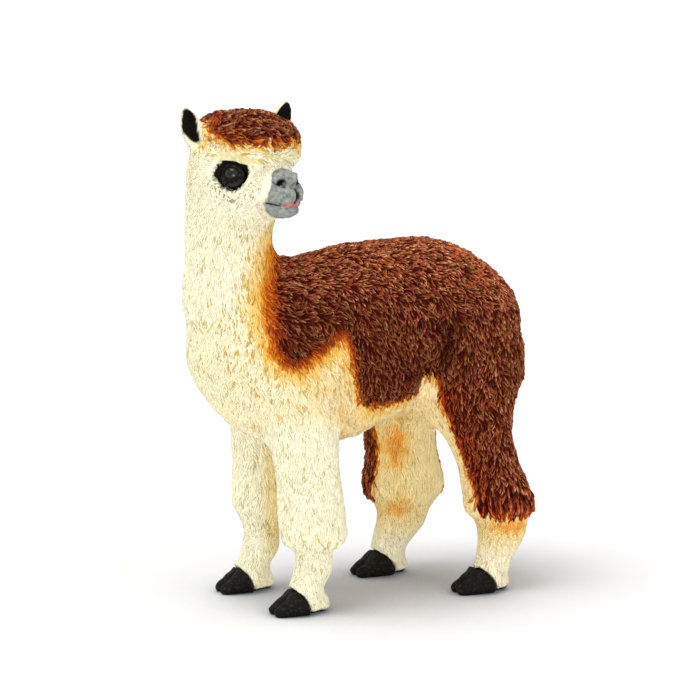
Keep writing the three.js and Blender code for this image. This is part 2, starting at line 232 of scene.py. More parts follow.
class FIGURINE_PG_paint(bpy.types.PropertyGroup):
    brown: colour("Brown", "Fleece of the back and the haunches", 142, 68, 32)
    # Umber is the dark of the brown's hollows: wash, and painted shade there, in the scattered pits and under
    # the front of the topknot.
    umber: colour("Umber", "Bottom of the brown fleece", 64, 7, 1)
    olive: colour("Olive", "Greener locks among the brown", 142, 88, 44)
    plum: colour("Plum", "Redder locks among the brown", 138, 56, 44)
    # Gilt is the colour of the brown's ridges: drybrushed paint and a painted highlight of the satin sheen.
    gilt: colour("Gilt", "Dry-brushed ridges of the brown", 216, 158, 118)
    rust: colour("Rust", "Where the brown thins out", 178, 66, 18)
    orange: colour("Orange", "Sprayed edge between brown and cream", 240, 140, 32)
    gold: colour("Gold", "Where the spray thins out over the cream", 250, 204, 92)
    cream: colour("Cream", "Fleece of the neck and the legs", 254, 249, 220)
    ochre: colour("Ochre", "Bottom of the cream fleece", 226, 180, 62)
    straw: colour("Straw", "Bottom of the fleece on the neck", 222, 202, 112)
    sand: colour("Sand", "Inner sides of the hind legs", 255, 233, 168)
    grey: colour("Grey", "Muzzle", 148, 152, 147)
    black: colour("Black", "Lids, ears and hooves", 15, 12, 9)
    pink: colour("Pink", "Edge of the lip", 214, 122, 118)


class FIGURINE_PG_stage(bpy.types.PropertyGroup):
    distance: length("Distance", "From the camera to the figurine", 0.55)
    azimuth: angle("Azimuth", "Camera's turn round the figurine", 154)
    elevation: angle("Elevation", "Camera's height as an angle", 9.5)
    aim: length("Aim", "Height that the camera looks at", 0.05)
    lens: FloatProperty(name="Lens", description="Focal length", default=141.43, unit="CAMERA")
    key: FloatProperty(name="Key", description="Strength of the main light", default=1.6)
    fill: FloatProperty(name="Fill", description="Strength of the light from all round", default=0.58)


def values_of(group):
    """The user's values of one group: skin, coat, paint or stage."""
    return getattr(bpy.context.scene, f"figurine_{group}")


# ---- Marks: where each paint goes ----

# The lower and front edge of the brown saddle, seen from the side, as places along X and Z.
SADDLE_X = [12.5, 18.4, 20.5, 21.4, 21.9, 21.5, 20, 17.6, 15, 12, 9, 7, 5.8]
SADDLE_X += [4.8, 3.4, 1, -4, -8, -11, -14.4, -18, -24, -46, -46, 12]
SADDLE_Z = [76.5, 71, 65, 60.5, 56.5, 53.5, 51, 50.4, 51.6, 53.2, 55, 56, 53]
SADDLE_Z += [48, 42.5, 40.6, 40.4, 40.8, 42.4, 45.4, 43, 37, 36, 90, 90]
SADDLE = np.column_stack([SADDLE_X, SADDLE_Z])


def inside_outline(x, z, outline):
    """Signed distance to a closed outline, above zero inside."""
    nearest = np.full(len(x), 1e9)
    within = np.zeros(len(x), bool)
    for a, b in zip(outline, np.roll(outline, -1, axis=0)):
        along = b - a
        share = np.clip(((x - a[0]) * along[0] + (z - a[1]) * along[1]) / (along @ along), 0, 1)
        nearest = np.minimum(nearest, np.hypot(x - a[0] - share * along[0], z - a[1] - share * along[1]))
        crosses = (a[1] > z) != (b[1] > z)
        rise = b[1] - a[1] if b[1] != a[1] else 1e-9
        within ^= crosses & (x < a[0] + (z - a[1]) / rise * along[0])
    return np.where(within, nearest, -nearest)


HOCK_HEIGHTS = [17.0, 21.8, 30.0, 38.0, 54.0]
HOCK_PLACES = [-24.8, -23.9, -21.7, -20.8, -22.8]
BROWN_HEM = 16.4  # height at which the brown of the hind legs ends
ALL_BROWN, NO_BROWN = 6.0, -9.0  # depths for solids that are brown all over, or nowhere


def hind_edge(p, leg):
    """Signed distance into the brown outer side of a hind leg."""
    sign = 1 if leg.endswith("left") else -1
    z = p[:, 2]
    axis = np.interp(z, HOCK_HEIGHTS, HOCK_PLACES) + HIND_STRIDE[leg] * (1 - z / 65)
    ahead = p[:, 0] - axis
    out = sign * (p[:, 1] - MID_Y) - HIND_TRACK
    if leg == "hind_left":
        edge = -0.525 * ahead + 0.853 * out + np.interp(z, [18, 24, 32, 40, 46], [0.6, 1.5, 1.5, 2.8, 3.4])
    else:
        edge = out - 0.03 * ahead + np.interp(z, [18, 25, 32, 40, 46], [1.8, 2.6, 2.6, 3.2, 4.5])
    hem = z - BROWN_HEM - 0.5 * np.sin(ahead * 2.6 + out * 1.7)
    return np.minimum(edge, hem)


def brown_depth(p, owner):
    """Signed distance into the brown fleece, in millimetres, above zero inside."""
    x, z = p[:, 0], p[:, 2]
    ahead, left, rise = head_place(p)
    depth = inside_outline(x, z, SADDLE)
    for leg in ("hind_left", "hind_right"):
        mine = on(owner, f"leg_{leg}")
        upper = step(43, 48, z[mine])
        depth[mine] = hind_edge(p[mine], leg) * (1 - upper) + depth[mine] * upper
    depth = np.where(on(owner, "tail"), ALL_BROWN, depth)
    back = np.minimum(ahead - 2, 0)
    bend = 0.032 * np.maximum(13 - np.maximum(ahead, 2), 0) ** 2
    cap = rise - (7.75 - 0.4 * step(-1, 4, left) + bend + 0.6 * back)
    depth = np.where(on(owner, "topknot"), cap, depth)
    depth = np.where(on(owner, "head"), np.minimum(cap - 1.2, 2 - ahead), depth)
    return np.where(on(owner, "muzzle", *EARS, *FORE_LEGS), NO_BROWN, depth)


def spray_width(p, owner):
    """Half the width of the orange edge round the brown, in millimetres."""
    x, z = p[:, 0], p[:, 2]
    width = 0.6 + 0.8 * step(4, 9, x) * step(44, 48, z) + 0.75 * step(14, 18, x) * step(54, 62, z)
    width = np.where(on(owner, "topknot"), 0.85, width)
    return np.where(on(owner, *HIND_LEGS), 0.2 + 0.22 * step(18, 22, z), width)


def patch(p, centre, radii):
    """A soft spot of sprayed paint."""
    return np.exp(-(((p - np.array(centre)) / np.array(radii)) ** 2).sum(axis=1))


# Sprays of orange on the pale fleece: how strong, their middles and their radii.
SPRAYS = (
    (0.95, (-13.2, -4.6, 28.2), (3.2, 4, 5)),  # inside of the right hind leg
    (0.5, (-14.5, -5, 15.5), (2.4, 3.6, 3.6)),
    (0.8, (-30, 13, 14.2), (5.5, 6, 2.2)),  # below the brown of the left hind leg
    (0.5, (-16, -11, 14.4), (5.5, 6, 2.4)),  # and of the right one
    (0.6, (12, 9, 40.5), (4, 6, 2.2)),  # elbow
    (0.4, (-2, 9, 38.5), (7, 6, 2)),  # edge of the belly
    (0.4, (17.5, 0, 76), (2.2, 5, 6)),  # throat
)


def sprayed(p):
    """How much orange is sprayed on the pale fleece away from the brown."""
    total = sum(strength * patch(p, centre, radii) for strength, centre, radii in SPRAYS)
    return np.clip(total * (1 + 0.3 * ripple(p, 2.0, 23)), 0, 0.85)


def pale_paint(p, owner, tone, warm, low, spray):
    """Cream fleece, warmer on the belly and behind, with its gold and orange sprays."""
    x, y, z = p.T
    sand = np.clip(on(owner, *HIND_LEGS) * step(6, 12, z) * 0.75 + low * step(12, 4, x) * 0.15, 0, 1)
    pale = blend(np.tile(tone["cream"], (len(p), 1)), tone["sand"], sand)
    pale = blend(pale, tone["gold"], np.clip(0.62 * warm + 0.16 * warm * ripple(p, 6, 21), 0, 1))
    inner = 0.6 * on(owner, "leg_front_right") * step(-18.4, -14.6, 0.438 * y - 0.899 * x) * step(3, 12, z)
    inner += 0.5 * patch(p, (14, -3, 38), (4, 4, 3))
    pale = blend(pale, tone["gold"] * 0.6 + tone["straw"] * 0.4, inner)
    pale = blend(pale, tone["gold"], np.clip(1.3 * spray, 0, 0.9))
    return blend(pale, tone["orange"] * 0.9 + tone["ochre"] * 0.15, np.clip(1.5 * spray - 0.45, 0, 0.8))


def brown_paint(p, tone, painted_light, flame, jitter):
    """Brown fleece in several tones, redder on the hind leg's front, with painted light that makes it lighter
    along the back and painted shade in its pits.
    """
    variety = 0.8 * ripple(p, 2.6, 61) + 1.2 * jitter
    coat = blend(np.tile(tone["brown"], (len(p), 1)), tone["olive"], 0.75 * step(0.1, 0.9, variety))
    coat = blend(coat, tone["plum"], 0.75 * step(-0.1, -0.9, variety))
    coat = coat * (painted_light * (1 + 0.14 * ripple(p, 7, 63)))[:, None]
    coat = blend(coat, tone["rust"] * 0.85, 0.75 * flame)
    # Painted shade: the locks in the pits turn near umber.
    return blend(coat, tone["umber"], 0.9 * painted_shade_pits(p))


def marks(p, owner, normal, jitter=0.0):
    """Each point's paint, that of its hollows and its crests, and how much of the hollows' shows. The
    hollows' colour is partly wash and partly painted shade; the crests' is partly drybrushing and partly
    painted highlight.
    """
    ink = values_of("paint")
    tone = {name: np.array(getattr(ink, name)) for name in FIGURINE_PG_paint.__annotations__}
    gold, rust, umber = tone["gold"], tone["rust"], tone["umber"]
    x, y, z = p.T
    crown = on(owner, "topknot") * 1.0
    hind, front, trunk = on(owner, *HIND_LEGS), on(owner, *FORE_LEGS), on(owner, "trunk")
    on_neck = on(owner, "neck", "head") * 1.0
    depth = brown_depth(p, owner) + 0.8 * jitter + (0.35 + 0.45 * crown) * ripple(p, 2.2, 3)
    fade = np.clip(depth / spray_width(p, owner) + 2.4, -2, None)
    late = 0.35 * on_neck

    low = step(45, 38, z) * trunk
    warm = 0.6 * step(24, 15, x) * step(64, 52, z) * step(38, 48, z) * trunk + 0.35 * low * step(14, 6, x)
    warm = np.clip(warm + 0.2 * trunk * step(64, 47, z) + 0.3 * front * step(36, 44, z), 0, 1)
    spray = sprayed(p)
    pale = pale_paint(p, owner, tone, warm, low, spray)
    # Painted light: the brown is lighter along the back, on the rump and low on the hind legs, and a little
    # darker on the lower shoulder. Painted shade darkens the fold before the haunch.
    painted_light = 0.96 + 0.56 * step(54, 68, z) + 0.16 * step(-14, -22, x) + 0.3 * hind * step(32, 22, z)
    painted_light = painted_light - 0.1 * step(0, 8, x) * step(66, 58, z)
    painted_light = np.where(crown > 0, 1.0, painted_light) * (1 - 0.65 * haunch_crease(p))
    flame = hind * (y > MID_Y) * step(46, 42, z) * step(6.5, 0.5, depth)

    paint = blend(pale, gold, 0.9 * step(-1.2, 1.1, fade + 0.35 * jitter))
    amber = blend(tone["orange"][None], (gold * 0.5 + rust * 0.35)[None], 0.5 * crown)
    paint = blend(paint, amber, step(0.8, 1.7, fade))
    paint = blend(paint, rust, step(1.9, 2.7, fade - late))
    paint = blend(paint, brown_paint(p, tone, painted_light, flame, jitter), step(2.8, 3.8, fade - late))

    near = step(-15, -3, depth) * np.clip(on_neck + trunk, 0, 1)
    # The hollows' colour: a wash, and painted shade where the locks overlap and between them.
    hollow = blend(np.tile(tone["straw"], (len(p), 1)), tone["ochre"], np.clip(near + 0.7 * hind, 0, 1))
    hollow = blend(hollow, rust * 0.8 + tone["orange"] * 0.35, (0.12 * warm + 0.35 * spray) * (1 - low))
    hollow = blend(hollow, gold, 0.8 * low)
    hollow = blend(hollow, gold * 0.75 + tone["orange"] * 0.2, 0.9 * crown * step(-2.6, -0.6, depth))
    hollow = blend(hollow, rust, step(1.0, 2.2, fade - late))
    hollow = blend(hollow, umber, step(2.4, 3.3, fade))

    # The crests' colour: drybrushing, and a painted highlight that is lighter than the paint.
    crest = paint * 0.45 + tone["cream"] * 0.6
    crest = blend(crest, paint * 0.6 + gold * 0.45, step(0.9, 1.9, fade))
    crest = blend(crest, tone["gilt"] * (painted_light * (1 - 0.7 * painted_shade_pits(p)))[:, None], step(2.4, 3.6, fade))
    crest = blend(crest, rust * 1.8 + tone["gilt"] * 0.15, 0.9 * flame)

    rare = 0.60 - 0.34 * near + 0.2 * ripple(p, 5, 67)
    tick = step(rare, rare + 0.25, jitter)
    paint = blend(paint, hollow, (0.3 + 0.45 * near) * tick * step(0.9, 0.2, fade))
    amount = 0.08 - 0.05 * on_neck + 0.22 * warm + 0.08 * ripple(p, 3.5, 5)
    amount = amount + 0.92 * tick * (1 - 0.3 * on(owner, "head"))
    amount = np.where(hind | (low > 0.5), amount + 0.06, amount) + 0.3 * crown
    amount = np.clip(blend(amount[:, None], np.ones((len(p), 1)), step(0.8, 2.2, fade))[:, 0], 0, 1)

    look = {"paint": paint, "hollow": hollow, "crest": crest, "amount": amount}
    face_marks(p, owner, normal, tone, look, jitter)
    rim = 0.85 + 0.15 * ripple(p, 1.6, 8)
    cover(look, tone["black"], (hind | front) * step(rim + 0.12, rim - 0.12, z))
    return look


def painted_shade_pits(p):
    """Where the scattered short pits between the locks lie: there the locks sit lower and are painted near
    umber, as painted shade.
    """
    return step(0.44, 0.76, ripple(p, 1.3, 65))


def haunch_crease(p):
    """How near each point is to the fold before the haunch."""
    x, y, z = p.T
    line = -14.8 - 0.10 * (z - 52)
    return bump(x, line, 1.5) * step(45.5, 49.5, z) * step(60, 54, z) * (np.abs(y - MID_Y) > 8)


def cover(look, tone, share, deep=0.6, high=1.6):
    """Lays another paint over all three: itself, a darker copy of it in the hollows as painted shade, and a
    lighter copy on the crests as painted highlight.
    """
    look["paint"] = blend(look["paint"], tone, share)
    look["hollow"] = blend(look["hollow"], tone * deep, share)
    look["crest"] = blend(look["crest"], tone * high, share)


def eye_patch(ahead, rise):
    """Place in the black round an eye: across and over its middle, in its own radii."""
    over = (rise - EYE_PATCH[1] - 0.1 * (ahead - EYE_PATCH[0])) / 3.25
    over = over + 0.1 * np.clip(over, 0, 1)
    lean = 1.0 - 0.24 * np.clip(-over, 0, 1.3)
    across = (ahead - EYE_PATCH[0] - 0.35 * np.clip(-over, 0, 1.5)) / lean
    return across / np.where(across > 0, 2.6 - 0.5 * np.clip(over, 0, 1), 3.6), over


def face_marks(p, owner, normal, tone, look, jitter):
    """The grey muzzle, the black round the eyes and in the ears, the lip, and a painted shadow under the
    front of the topknot.
    """
    ahead, left, rise = head_place(p)
    on_head = on(owner, "head", "muzzle") * 1.0
    start = grey_start(rise) + 0.12 * ripple(p, 1.1, 31) + 0.06 * ripple(p, 0.45, 32)
    soft = 0.25 + 0.35 * step(-1.5, -3.5, rise)
    grey = on_head * step(-1, 1, (ahead - start) / soft)
    blush = 0.4 * on_head * bump(ahead - start, -0.6, 0.7) * step(-2.0, -4.0, rise) * (np.abs(left) > 1)
    # Each cover below also puts a darker copy in the hollows and a lighter one on the crests: painted shade
    # and painted highlight.
    cover(look, tone["pink"] * 0.55 + tone["cream"] * 0.4, blush, 0.9, 1.0)
    cover(look, tone["grey"] * 1.04, grey, 0.36, 1.6)
    look["amount"] = np.where(grey > 0.5, 0.8, look["amount"])

    # Painted shadow: a dark umber band under the front of the topknot, above the muzzle.
    shadow_under_lobe = on(owner, "topknot") * step(2.6, 1.7, rise) * step(9.0, 10.5, ahead)
    cover(look, tone["umber"] * 0.6, 0.9 * shadow_under_lobe, 0.5, 1.2)
    across, over = eye_patch(ahead, rise)
    reach = np.hypot(across, over) + 0.05 * ripple(p, 0.9, 33) + 0.03 * ripple(p, 0.4, 34)
    beside = on_head * (np.abs(left) > 2.5)
    mask = beside * step(1.05, 0.96, reach)
    turn = np.arctan2(over, across)
    streak = step(0.35, 0.85, 0.5 + 0.5 * np.sin(turn * 19 + 3.0 * ripple(p, 2.2, 35)))
    below = beside * step(0.15, -0.6, over / np.maximum(reach, 0.2)) * (1 - mask)
    around = beside * step(1.22, 1.02, reach) * (1 - mask)
    soot = tone["black"] * 0.8 + tone["straw"] * 0.12
    dirt = np.clip(0.6 * streak * step(1.4, 1.02, reach) * below + 0.35 * streak * around, 0, 1) * (1 - grey)
    stroke = step(0.3, 0.5, jitter) * step(2.6, 1.4, reach) * below * (1 - grey)
    cover(look, tone["black"] * 0.4 + tone["ochre"] * 0.3, 0.6 * stroke, 0.8, 1.2)
    cover(look, soot, dirt, 0.8, 1.2)
    cover(look, tone["black"], mask, 0.4, 2.6)

    dark = crease_share(ahead, left, rise) * on_head
    cover(look, tone["black"] * 0.5, dark)
    low = rise - mouth_height(ahead, left)
    full = step(17.9, 19.8, ahead)
    lip = on_head * full * step(-0.55 * full, -0.25 * full, low) * step(0.5 * full, 0.2 * full, low)
    lip = lip * (1 - philtrum(ahead, left, rise))
    cover(look, tone["pink"] * (1 + 0.12 * ripple(p, 0.7, 37))[:, None], lip, 0.6, 1.3)

    for side, sign in SIDES.items():
        mine = on(owner, f"ear_{side}") * 1.0
        place, face, wide, tall = ear_axes(sign)
        q = p - place
        up = (q @ tall - 1.15) / 3.6
        toward = np.maximum(-sign * (q @ wide), 0)
        away = np.maximum(sign * (q @ wide), 0)
        half = np.where(toward > 0, 1.5 + 0.4 * up, 2.45) - 0.7 * np.clip(up, 0, 1) ** 2
        bowl = (q @ wide / half) ** 2 + up**2
        inner = mine * step(1.12, 0.9, bowl) * (q @ face + 0.7 * toward + 0.25 * away > -0.35)
        inner = inner * step(-0.3, 0.0, normal @ face)
        cover(look, tone["gold"], 0.35 * mine * step(-1.0, -4.0, q @ tall) * (1 - inner))
        cover(look, tone["black"], inner)


# ---- Face: where its folds are ----


GREY_RISES = [-6.0, -4.9, -3.9, -3.2, -2.4, -1.3, -0.3, 0.8, 1.8, 3.0, 4.0]
GREY_STARTS = [14.7, 14.7, 15.0, 15.7, 16.3, 16.7, 16.9, 16.4, 15.5, 16.0, 17.4]


def grey_start(rise):
    """How far ahead the grey of the muzzle begins."""
    return np.interp(rise, GREY_RISES, GREY_STARTS)


def nostril_reach(ahead, left, rise, sign):
    """Distance from a nostril's middle in its own widths: a comma that is wide ahead and thin behind."""
    back = np.clip(18.9 - ahead, 0, 3)
    q = np.stack([ahead - 18.5, left * sign - 2.15 + 0.1 * back, rise - 0.10 + 0.10 * back])
    tall = 0.92 - 0.12 * back
    return np.sqrt((q[0] / 1.2) ** 2 + (q[1] / 1.0) ** 2 + (q[2] / np.maximum(tall, 0.2)) ** 2)


def nostril_fold(ahead, left, rise, sign):
    """The thin crease that runs back and down behind a nostril."""
    line = -0.50 + 0.70 * (18.0 - ahead)
    return bump(rise, line, 0.17) * step(16.6, 17.0, ahead) * step(18.2, 17.8, ahead) * (left * sign > 0.5)


def mouth_height(ahead, left):
    """Height of the closed mouth's line."""
    return -4.15 + 0.10 * np.maximum(17.5 - ahead, 0) + 0.12 * np.cos(np.clip(left, -3, 3) * 1.6)


def philtrum(ahead, left, rise):
    """The slit between the two halves of the upper lip."""
    wide = 0.16 + 0.26 * bump(rise, -2.5, 1.0)
    slit = step(wide + 0.14, wide - 0.1, np.abs(left - 0.55)) * step(18.3, 18.9, ahead)
    return slit * step(-4.2, -3.8, rise) * step(-0.9, -1.4, rise)


def crease_share(ahead, left, rise):
    """How far each point lies in the black of the nostrils, the mouth's corners and the split lip."""
    dark = philtrum(ahead, left, rise)
    for sign in (1, -1):
        dark = dark + step(1.05, 0.8, nostril_reach(ahead, left, rise, sign))
        dark = dark + 0.9 * step(0.35, 0.7, nostril_fold(ahead, left, rise, sign))
    seam = np.abs(rise - mouth_height(ahead, left))
    dark = dark + 0.9 * step(0.26, 0.1, seam) * step(15.2, 15.7, ahead) * step(18.9, 18.2, ahead)
    return np.clip(dark, 0, 1)


def carve_face(p, normal, owner):
    """Moves the skin of the head into nostrils, lips and folds. Returns the moved points."""
    ahead, left, rise = head_place(p)
    on_head = on(owner, "head", "muzzle")
    push = np.zeros(len(p))
    for sign in (1, -1):
        reach = nostril_reach(ahead, left, rise, sign)
        push -= 1.15 * step(1.25, 0.55, reach)
        push += 0.34 * bump(reach, 1.75, 0.5) * step(-0.5, 0.7, rise) * step(15.6, 16.8, ahead)
        push += 0.16 * bump(reach, 1.7, 0.4) * step(0.2, -0.6, rise)
        push -= 0.34 * nostril_fold(ahead, left, rise, sign)
    low = rise - mouth_height(ahead, left)
    front = step(15.2, 16.4, ahead)
    push -= 0.42 * front * bump(low, 0, 0.24) * step(18.6, 16.8, ahead)
    push -= 0.2 * front * bump(low, 0.42, 0.16)
    push -= 0.24 * front * bump(low, -0.55, 0.2)
    push += 0.12 * front * bump(low, 1.0, 0.5) + 0.22 * front * bump(low, -1.5, 0.7)
    slit = step(0.6, 0.2, np.abs(left - 0.55)) * step(18.0, 18.8, ahead)
    push -= 1.0 * slit * step(-4.2, -3.8, rise) * step(-0.6, -1.3, rise)
    push += 0.34 * bump(np.abs(left), 1.0, 0.55) * step(18.4, 19.2, ahead) * bump(rise, -2.5, 1.2)
    push -= 1.0 * bump(rise, -0.35, 0.75) * step(17.8, 19.2, ahead)
    edge = grey_start(rise)
    push += 0.22 * bump(ahead - edge, -0.9, 0.6) - 0.16 * bump(ahead - edge, 0.15, 0.35)
    across, over = eye_patch(ahead, rise)
    near = np.hypot(across, over)
    beside = np.abs(left) > EYE_LEFT
    push += 0.34 * bump(near, 1.16, 0.14) * beside - 0.16 * bump(near, 0.96, 0.1) * beside
    push -= 0.14 * bump(near, 1.42, 0.1) * beside * step(0.5, -0.6, over)
    push += 0.05 * ripple(p, 1.0, 39) * step(14.5, 15.5, ahead)
    start, end = np.array([12.8, -0.2, 6.2]), np.array([11.2, -2.4, 3.6])  # one lock over the brow
    way = end - start
    off = np.stack([ahead, left, rise], 1) - start
    share = np.clip((off @ way) / (way @ way), 0, 1)
    lock = np.linalg.norm(off - share[:, None] * way, axis=1)
    push += 0.4 * bump(lock, 0, 0.5) - 0.25 * bump(lock, 0.9, 0.3)
    return close_round_eyes(p + normal * (push * on_head)[:, None], on_head)


def close_round_eyes(p, on_head):
    """Lifts the skin beside each eyeball, so that the lids sink into it."""
    for side, sign in SIDES.items():
        look = eye_axes(sign)[0]
        v = p - EYES[side]
        far = np.linalg.norm(v, axis=1)
        angle = np.arccos(np.clip(v @ look / np.maximum(far, 1e-6), -1, 1))
        rim = EYE_RADIUS + 0.34 - 1.2 * step(1.05, 1.65, angle)
        mine = on_head & (far < 4) & (angle > 0.66) & (angle < 1.6)
        want = np.maximum(far, rim * step(0.6, 0.85, angle))
        p = np.where(mine[:, None], EYES[side] + v * (want / np.maximum(far, 1e-6))[:, None], p)
    return p


# ---- Meshes ----


def deselect():
    if bpy.context.object and bpy.context.object.mode != "OBJECT":
        bpy.ops.object.mode_set(mode="OBJECT")
    bpy.ops.object.select_all(action="DESELECT")


def choose(piece):
    """Makes one object the only selected one, and the active one."""
    deselect()
    piece.select_set(True)
    bpy.context.view_layer.objects.active = piece


def edit_all(piece, operator, **values):
    """Runs one operator on all of a piece in edit mode."""
    choose(piece)
    bpy.ops.object.mode_set(mode="EDIT")
    bpy.ops.mesh.select_all(action="SELECT")
    operator(**values)
    bpy.ops.object.mode_set(mode="OBJECT")


def apply_modifier(piece, kind, **values):
    choose(piece)
    modifier = piece.modifiers.new(kind.title(), kind)
    for key, value in values.items():
        setattr(modifier, key, value)
    bpy.ops.object.modifier_apply(modifier=modifier.name)


def read(items, key, width, kind=np.float32):
    """One row of numbers for each item of a mesh."""
    flat = np.empty(len(items) * width, kind)
    items.foreach_get(key, flat)
    return flat.reshape(-1, width)


def read_points(mesh):
    return read(mesh.vertices, "co", 3).astype(float)


def read_normals(mesh):
    return read(mesh.vertex_normals, "vector", 3).astype(float)


def read_edges(mesh):
    return read(mesh.edges, "vertices", 2, np.int32)


def face_centres(mesh):
    return read(mesh.polygons, "center", 3).astype(float)


def triangles_of(mesh):
    mesh.calc_loop_triangles()
    return read(mesh.loop_triangles, "vertices", 3, np.int32)


def write_points(mesh, p):
    mesh.vertices.foreach_set("co", np.asarray(p, np.float32).ravel())
    mesh.update()


def neighbour_mean(values, edges):
    """Mean of each vertex's neighbours, for each column of values."""
    count = len(values)
    degree = np.maximum(np.bincount(edges.ravel(), minlength=count), 1)
    mean = np.empty_like(values)
    for k in range(values.shape[1]):
        total = np.bincount(edges[:, 0], values[edges[:, 1], k], count)
        total += np.bincount(edges[:, 1], values[edges[:, 0], k], count)
        mean[:, k] = total / degree
    return mean


def relax(p, edges, weight, rounds):
    """Smooths without shrinking, by a step in and a step out in each round."""
    weight = weight[:, None]
    for _ in range(rounds):
        for share in (0.55, -0.57):
            p = p + share * weight * (neighbour_mean(p, edges) - p)
    return p


def write_attribute(mesh, name, values):
    """A float or a colour on each vertex."""
    values = np.asarray(values, np.float32)
    if values.ndim == 1:
        mesh.attributes.new(name, "FLOAT", "POINT").data.foreach_set("value", values)
        return
    rgba = np.ones((len(values), 4), np.float32)
    rgba[:, :3] = values
    mesh.attributes.new(name, "FLOAT_COLOR", "POINT").data.foreach_set("color", rgba.ravel())


def copy_nodes(names, title):
    """One object with the merged copies of some solids, in millimetres."""
    deselect()
    copies = []
    for name in names:
        twin = bpy.data.objects.new(title, frame["nodes"][name].data.copy())
        twin.data.transform(Matrix.Scale(1 / MM, 4))
        bpy.context.scene.collection.objects.link(twin)
        twin.select_set(True)
        copies.append(twin)
    bpy.context.view_layer.objects.active = copies[0]
    if len(copies) > 1:
        bpy.ops.object.join()
    piece = bpy.context.view_layer.objects.active
    piece.name = title
    piece.data.materials.clear()
    edit_all(piece, bpy.ops.mesh.remove_doubles, threshold=DOUBLES)
    return piece


def refine(piece, wanted):
    """Splits every wanted face into four."""
    choose(piece)
    bpy.context.scene.tool_settings.mesh_select_mode = (False, False, True)
    bpy.ops.object.mode_set(mode="EDIT")
    bpy.ops.mesh.select_all(action="DESELECT")
    bpy.ops.object.mode_set(mode="OBJECT")
    piece.data.polygons.foreach_set("select", np.asarray(wanted, bool))
    bpy.ops.object.mode_set(mode="EDIT")
    bpy.ops.mesh.subdivide(number_cuts=1, smoothness=0)
    bpy.ops.object.mode_set(mode="OBJECT")


def solid_tree():
    """A search tree over the flesh solids, with the owner of each face."""
    points, faces, owners = [], [], []
    for name in FLESH:
        mesh = frame["nodes"][name].data
        start = len(points)
        points += [v.co / MM for v in mesh.vertices]
        for polygon in mesh.polygons:
            faces.append([start + v for v in polygon.vertices])
            owners.append(OWNER[name])
    return BVHTree.FromPolygons(points, faces), np.array(owners)


def owners_of(p):
    tree, owners = solid_tree()
    return np.array([owners[tree.find_nearest(q)[2]] for q in p])


def finish_piece(piece, slot_name, *nodes):
    """Puts a piece in metres, smooth, riding the figurine and standing for its solids."""
    piece.data.transform(Matrix.Scale(MM, 4))
    piece.data.polygons.foreach_set("use_smooth", np.ones(len(piece.data.polygons), bool))
    piece.data.update()
    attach(piece, "root")
    if nodes:
        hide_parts(*nodes)
    deselect()


# ---- Materials ----


class Shader:
    """A material's nodes, made afresh and built one call at a time."""

    def __init__(self, name):
        self.material = bpy.data.materials.get(name) or bpy.data.materials.new(name)
        self.material.use_nodes = True
        self.nodes = self.material.node_tree.nodes
        self.links = self.material.node_tree.links
        self.surface = next(n for n in self.nodes if n.type == "BSDF_PRINCIPLED")
        for old in [n for n in self.nodes if n.type not in ("BSDF_PRINCIPLED", "OUTPUT_MATERIAL")]:
            self.nodes.remove(old)

    def node(self, kind, inputs=(), **values):
        made = self.nodes.new(kind)
        for key, value in values.items():
            setattr(made, key, value)
        for key, value in dict(inputs).items():
            if isinstance(value, bpy.types.NodeSocket):
                self.links.new(value, made.inputs[key])
            else:
                made.inputs[key].default_value = value
        return made

    def attribute(self, name, output):
        return self.node("ShaderNodeAttribute", attribute_name=name).outputs[output]

    def noise(self, scale, stretch=(1, 1, 1), detail=3.0):
        """Noise with about scale cells to the millimetre."""
        place = self.node("ShaderNodeTexCoord").outputs["Object"]
        size = [s * scale / MM for s in stretch]
        spot = self.node("ShaderNodeMapping", {"Vector": place, "Scale": size}).outputs["Vector"]
        inputs = {"Vector": spot, "Scale": 1.0, "Detail": detail}
        return self.node("ShaderNodeTexNoise", inputs).outputs["Fac"]

    def maths(self, operation, a, b=0.0, clamp=False):
        return self.node("ShaderNodeMath", {0: a, 1: b}, operation=operation, use_clamp=clamp).outputs[0]

    def between(self, value, low, high, start=0.0, end=1.0):
        inputs = {"Value": value, "From Min": low, "From Max": high, "To Min": start, "To Max": end}
        return self.node("ShaderNodeMapRange", inputs, interpolation_type="SMOOTHSTEP").outputs[0]

    def mix(self, factor, a, b, way="MIX"):
        made = self.node("ShaderNodeMix", data_type="RGBA", blend_type=way)
        for socket, value in ((made.inputs[0], factor), (made.inputs[6], a), (made.inputs[7], b)):
            if isinstance(value, bpy.types.NodeSocket):
                self.links.new(value, socket)
            else:
                socket.default_value = value
        return made.outputs[2]

    def relief(self, height, distance, strength=1.0):
        inputs = {"Height": height, "Distance": distance * MM, "Strength": strength}
        normal = self.node("ShaderNodeBump", inputs).outputs["Normal"]
        self.links.new(normal, self.surface.inputs["Normal"])

    def colour(self, socket):
        self.links.new(socket, self.surface.inputs["Base Color"])

    def roughness(self, socket):
        self.links.new(socket, self.surface.inputs["Roughness"])


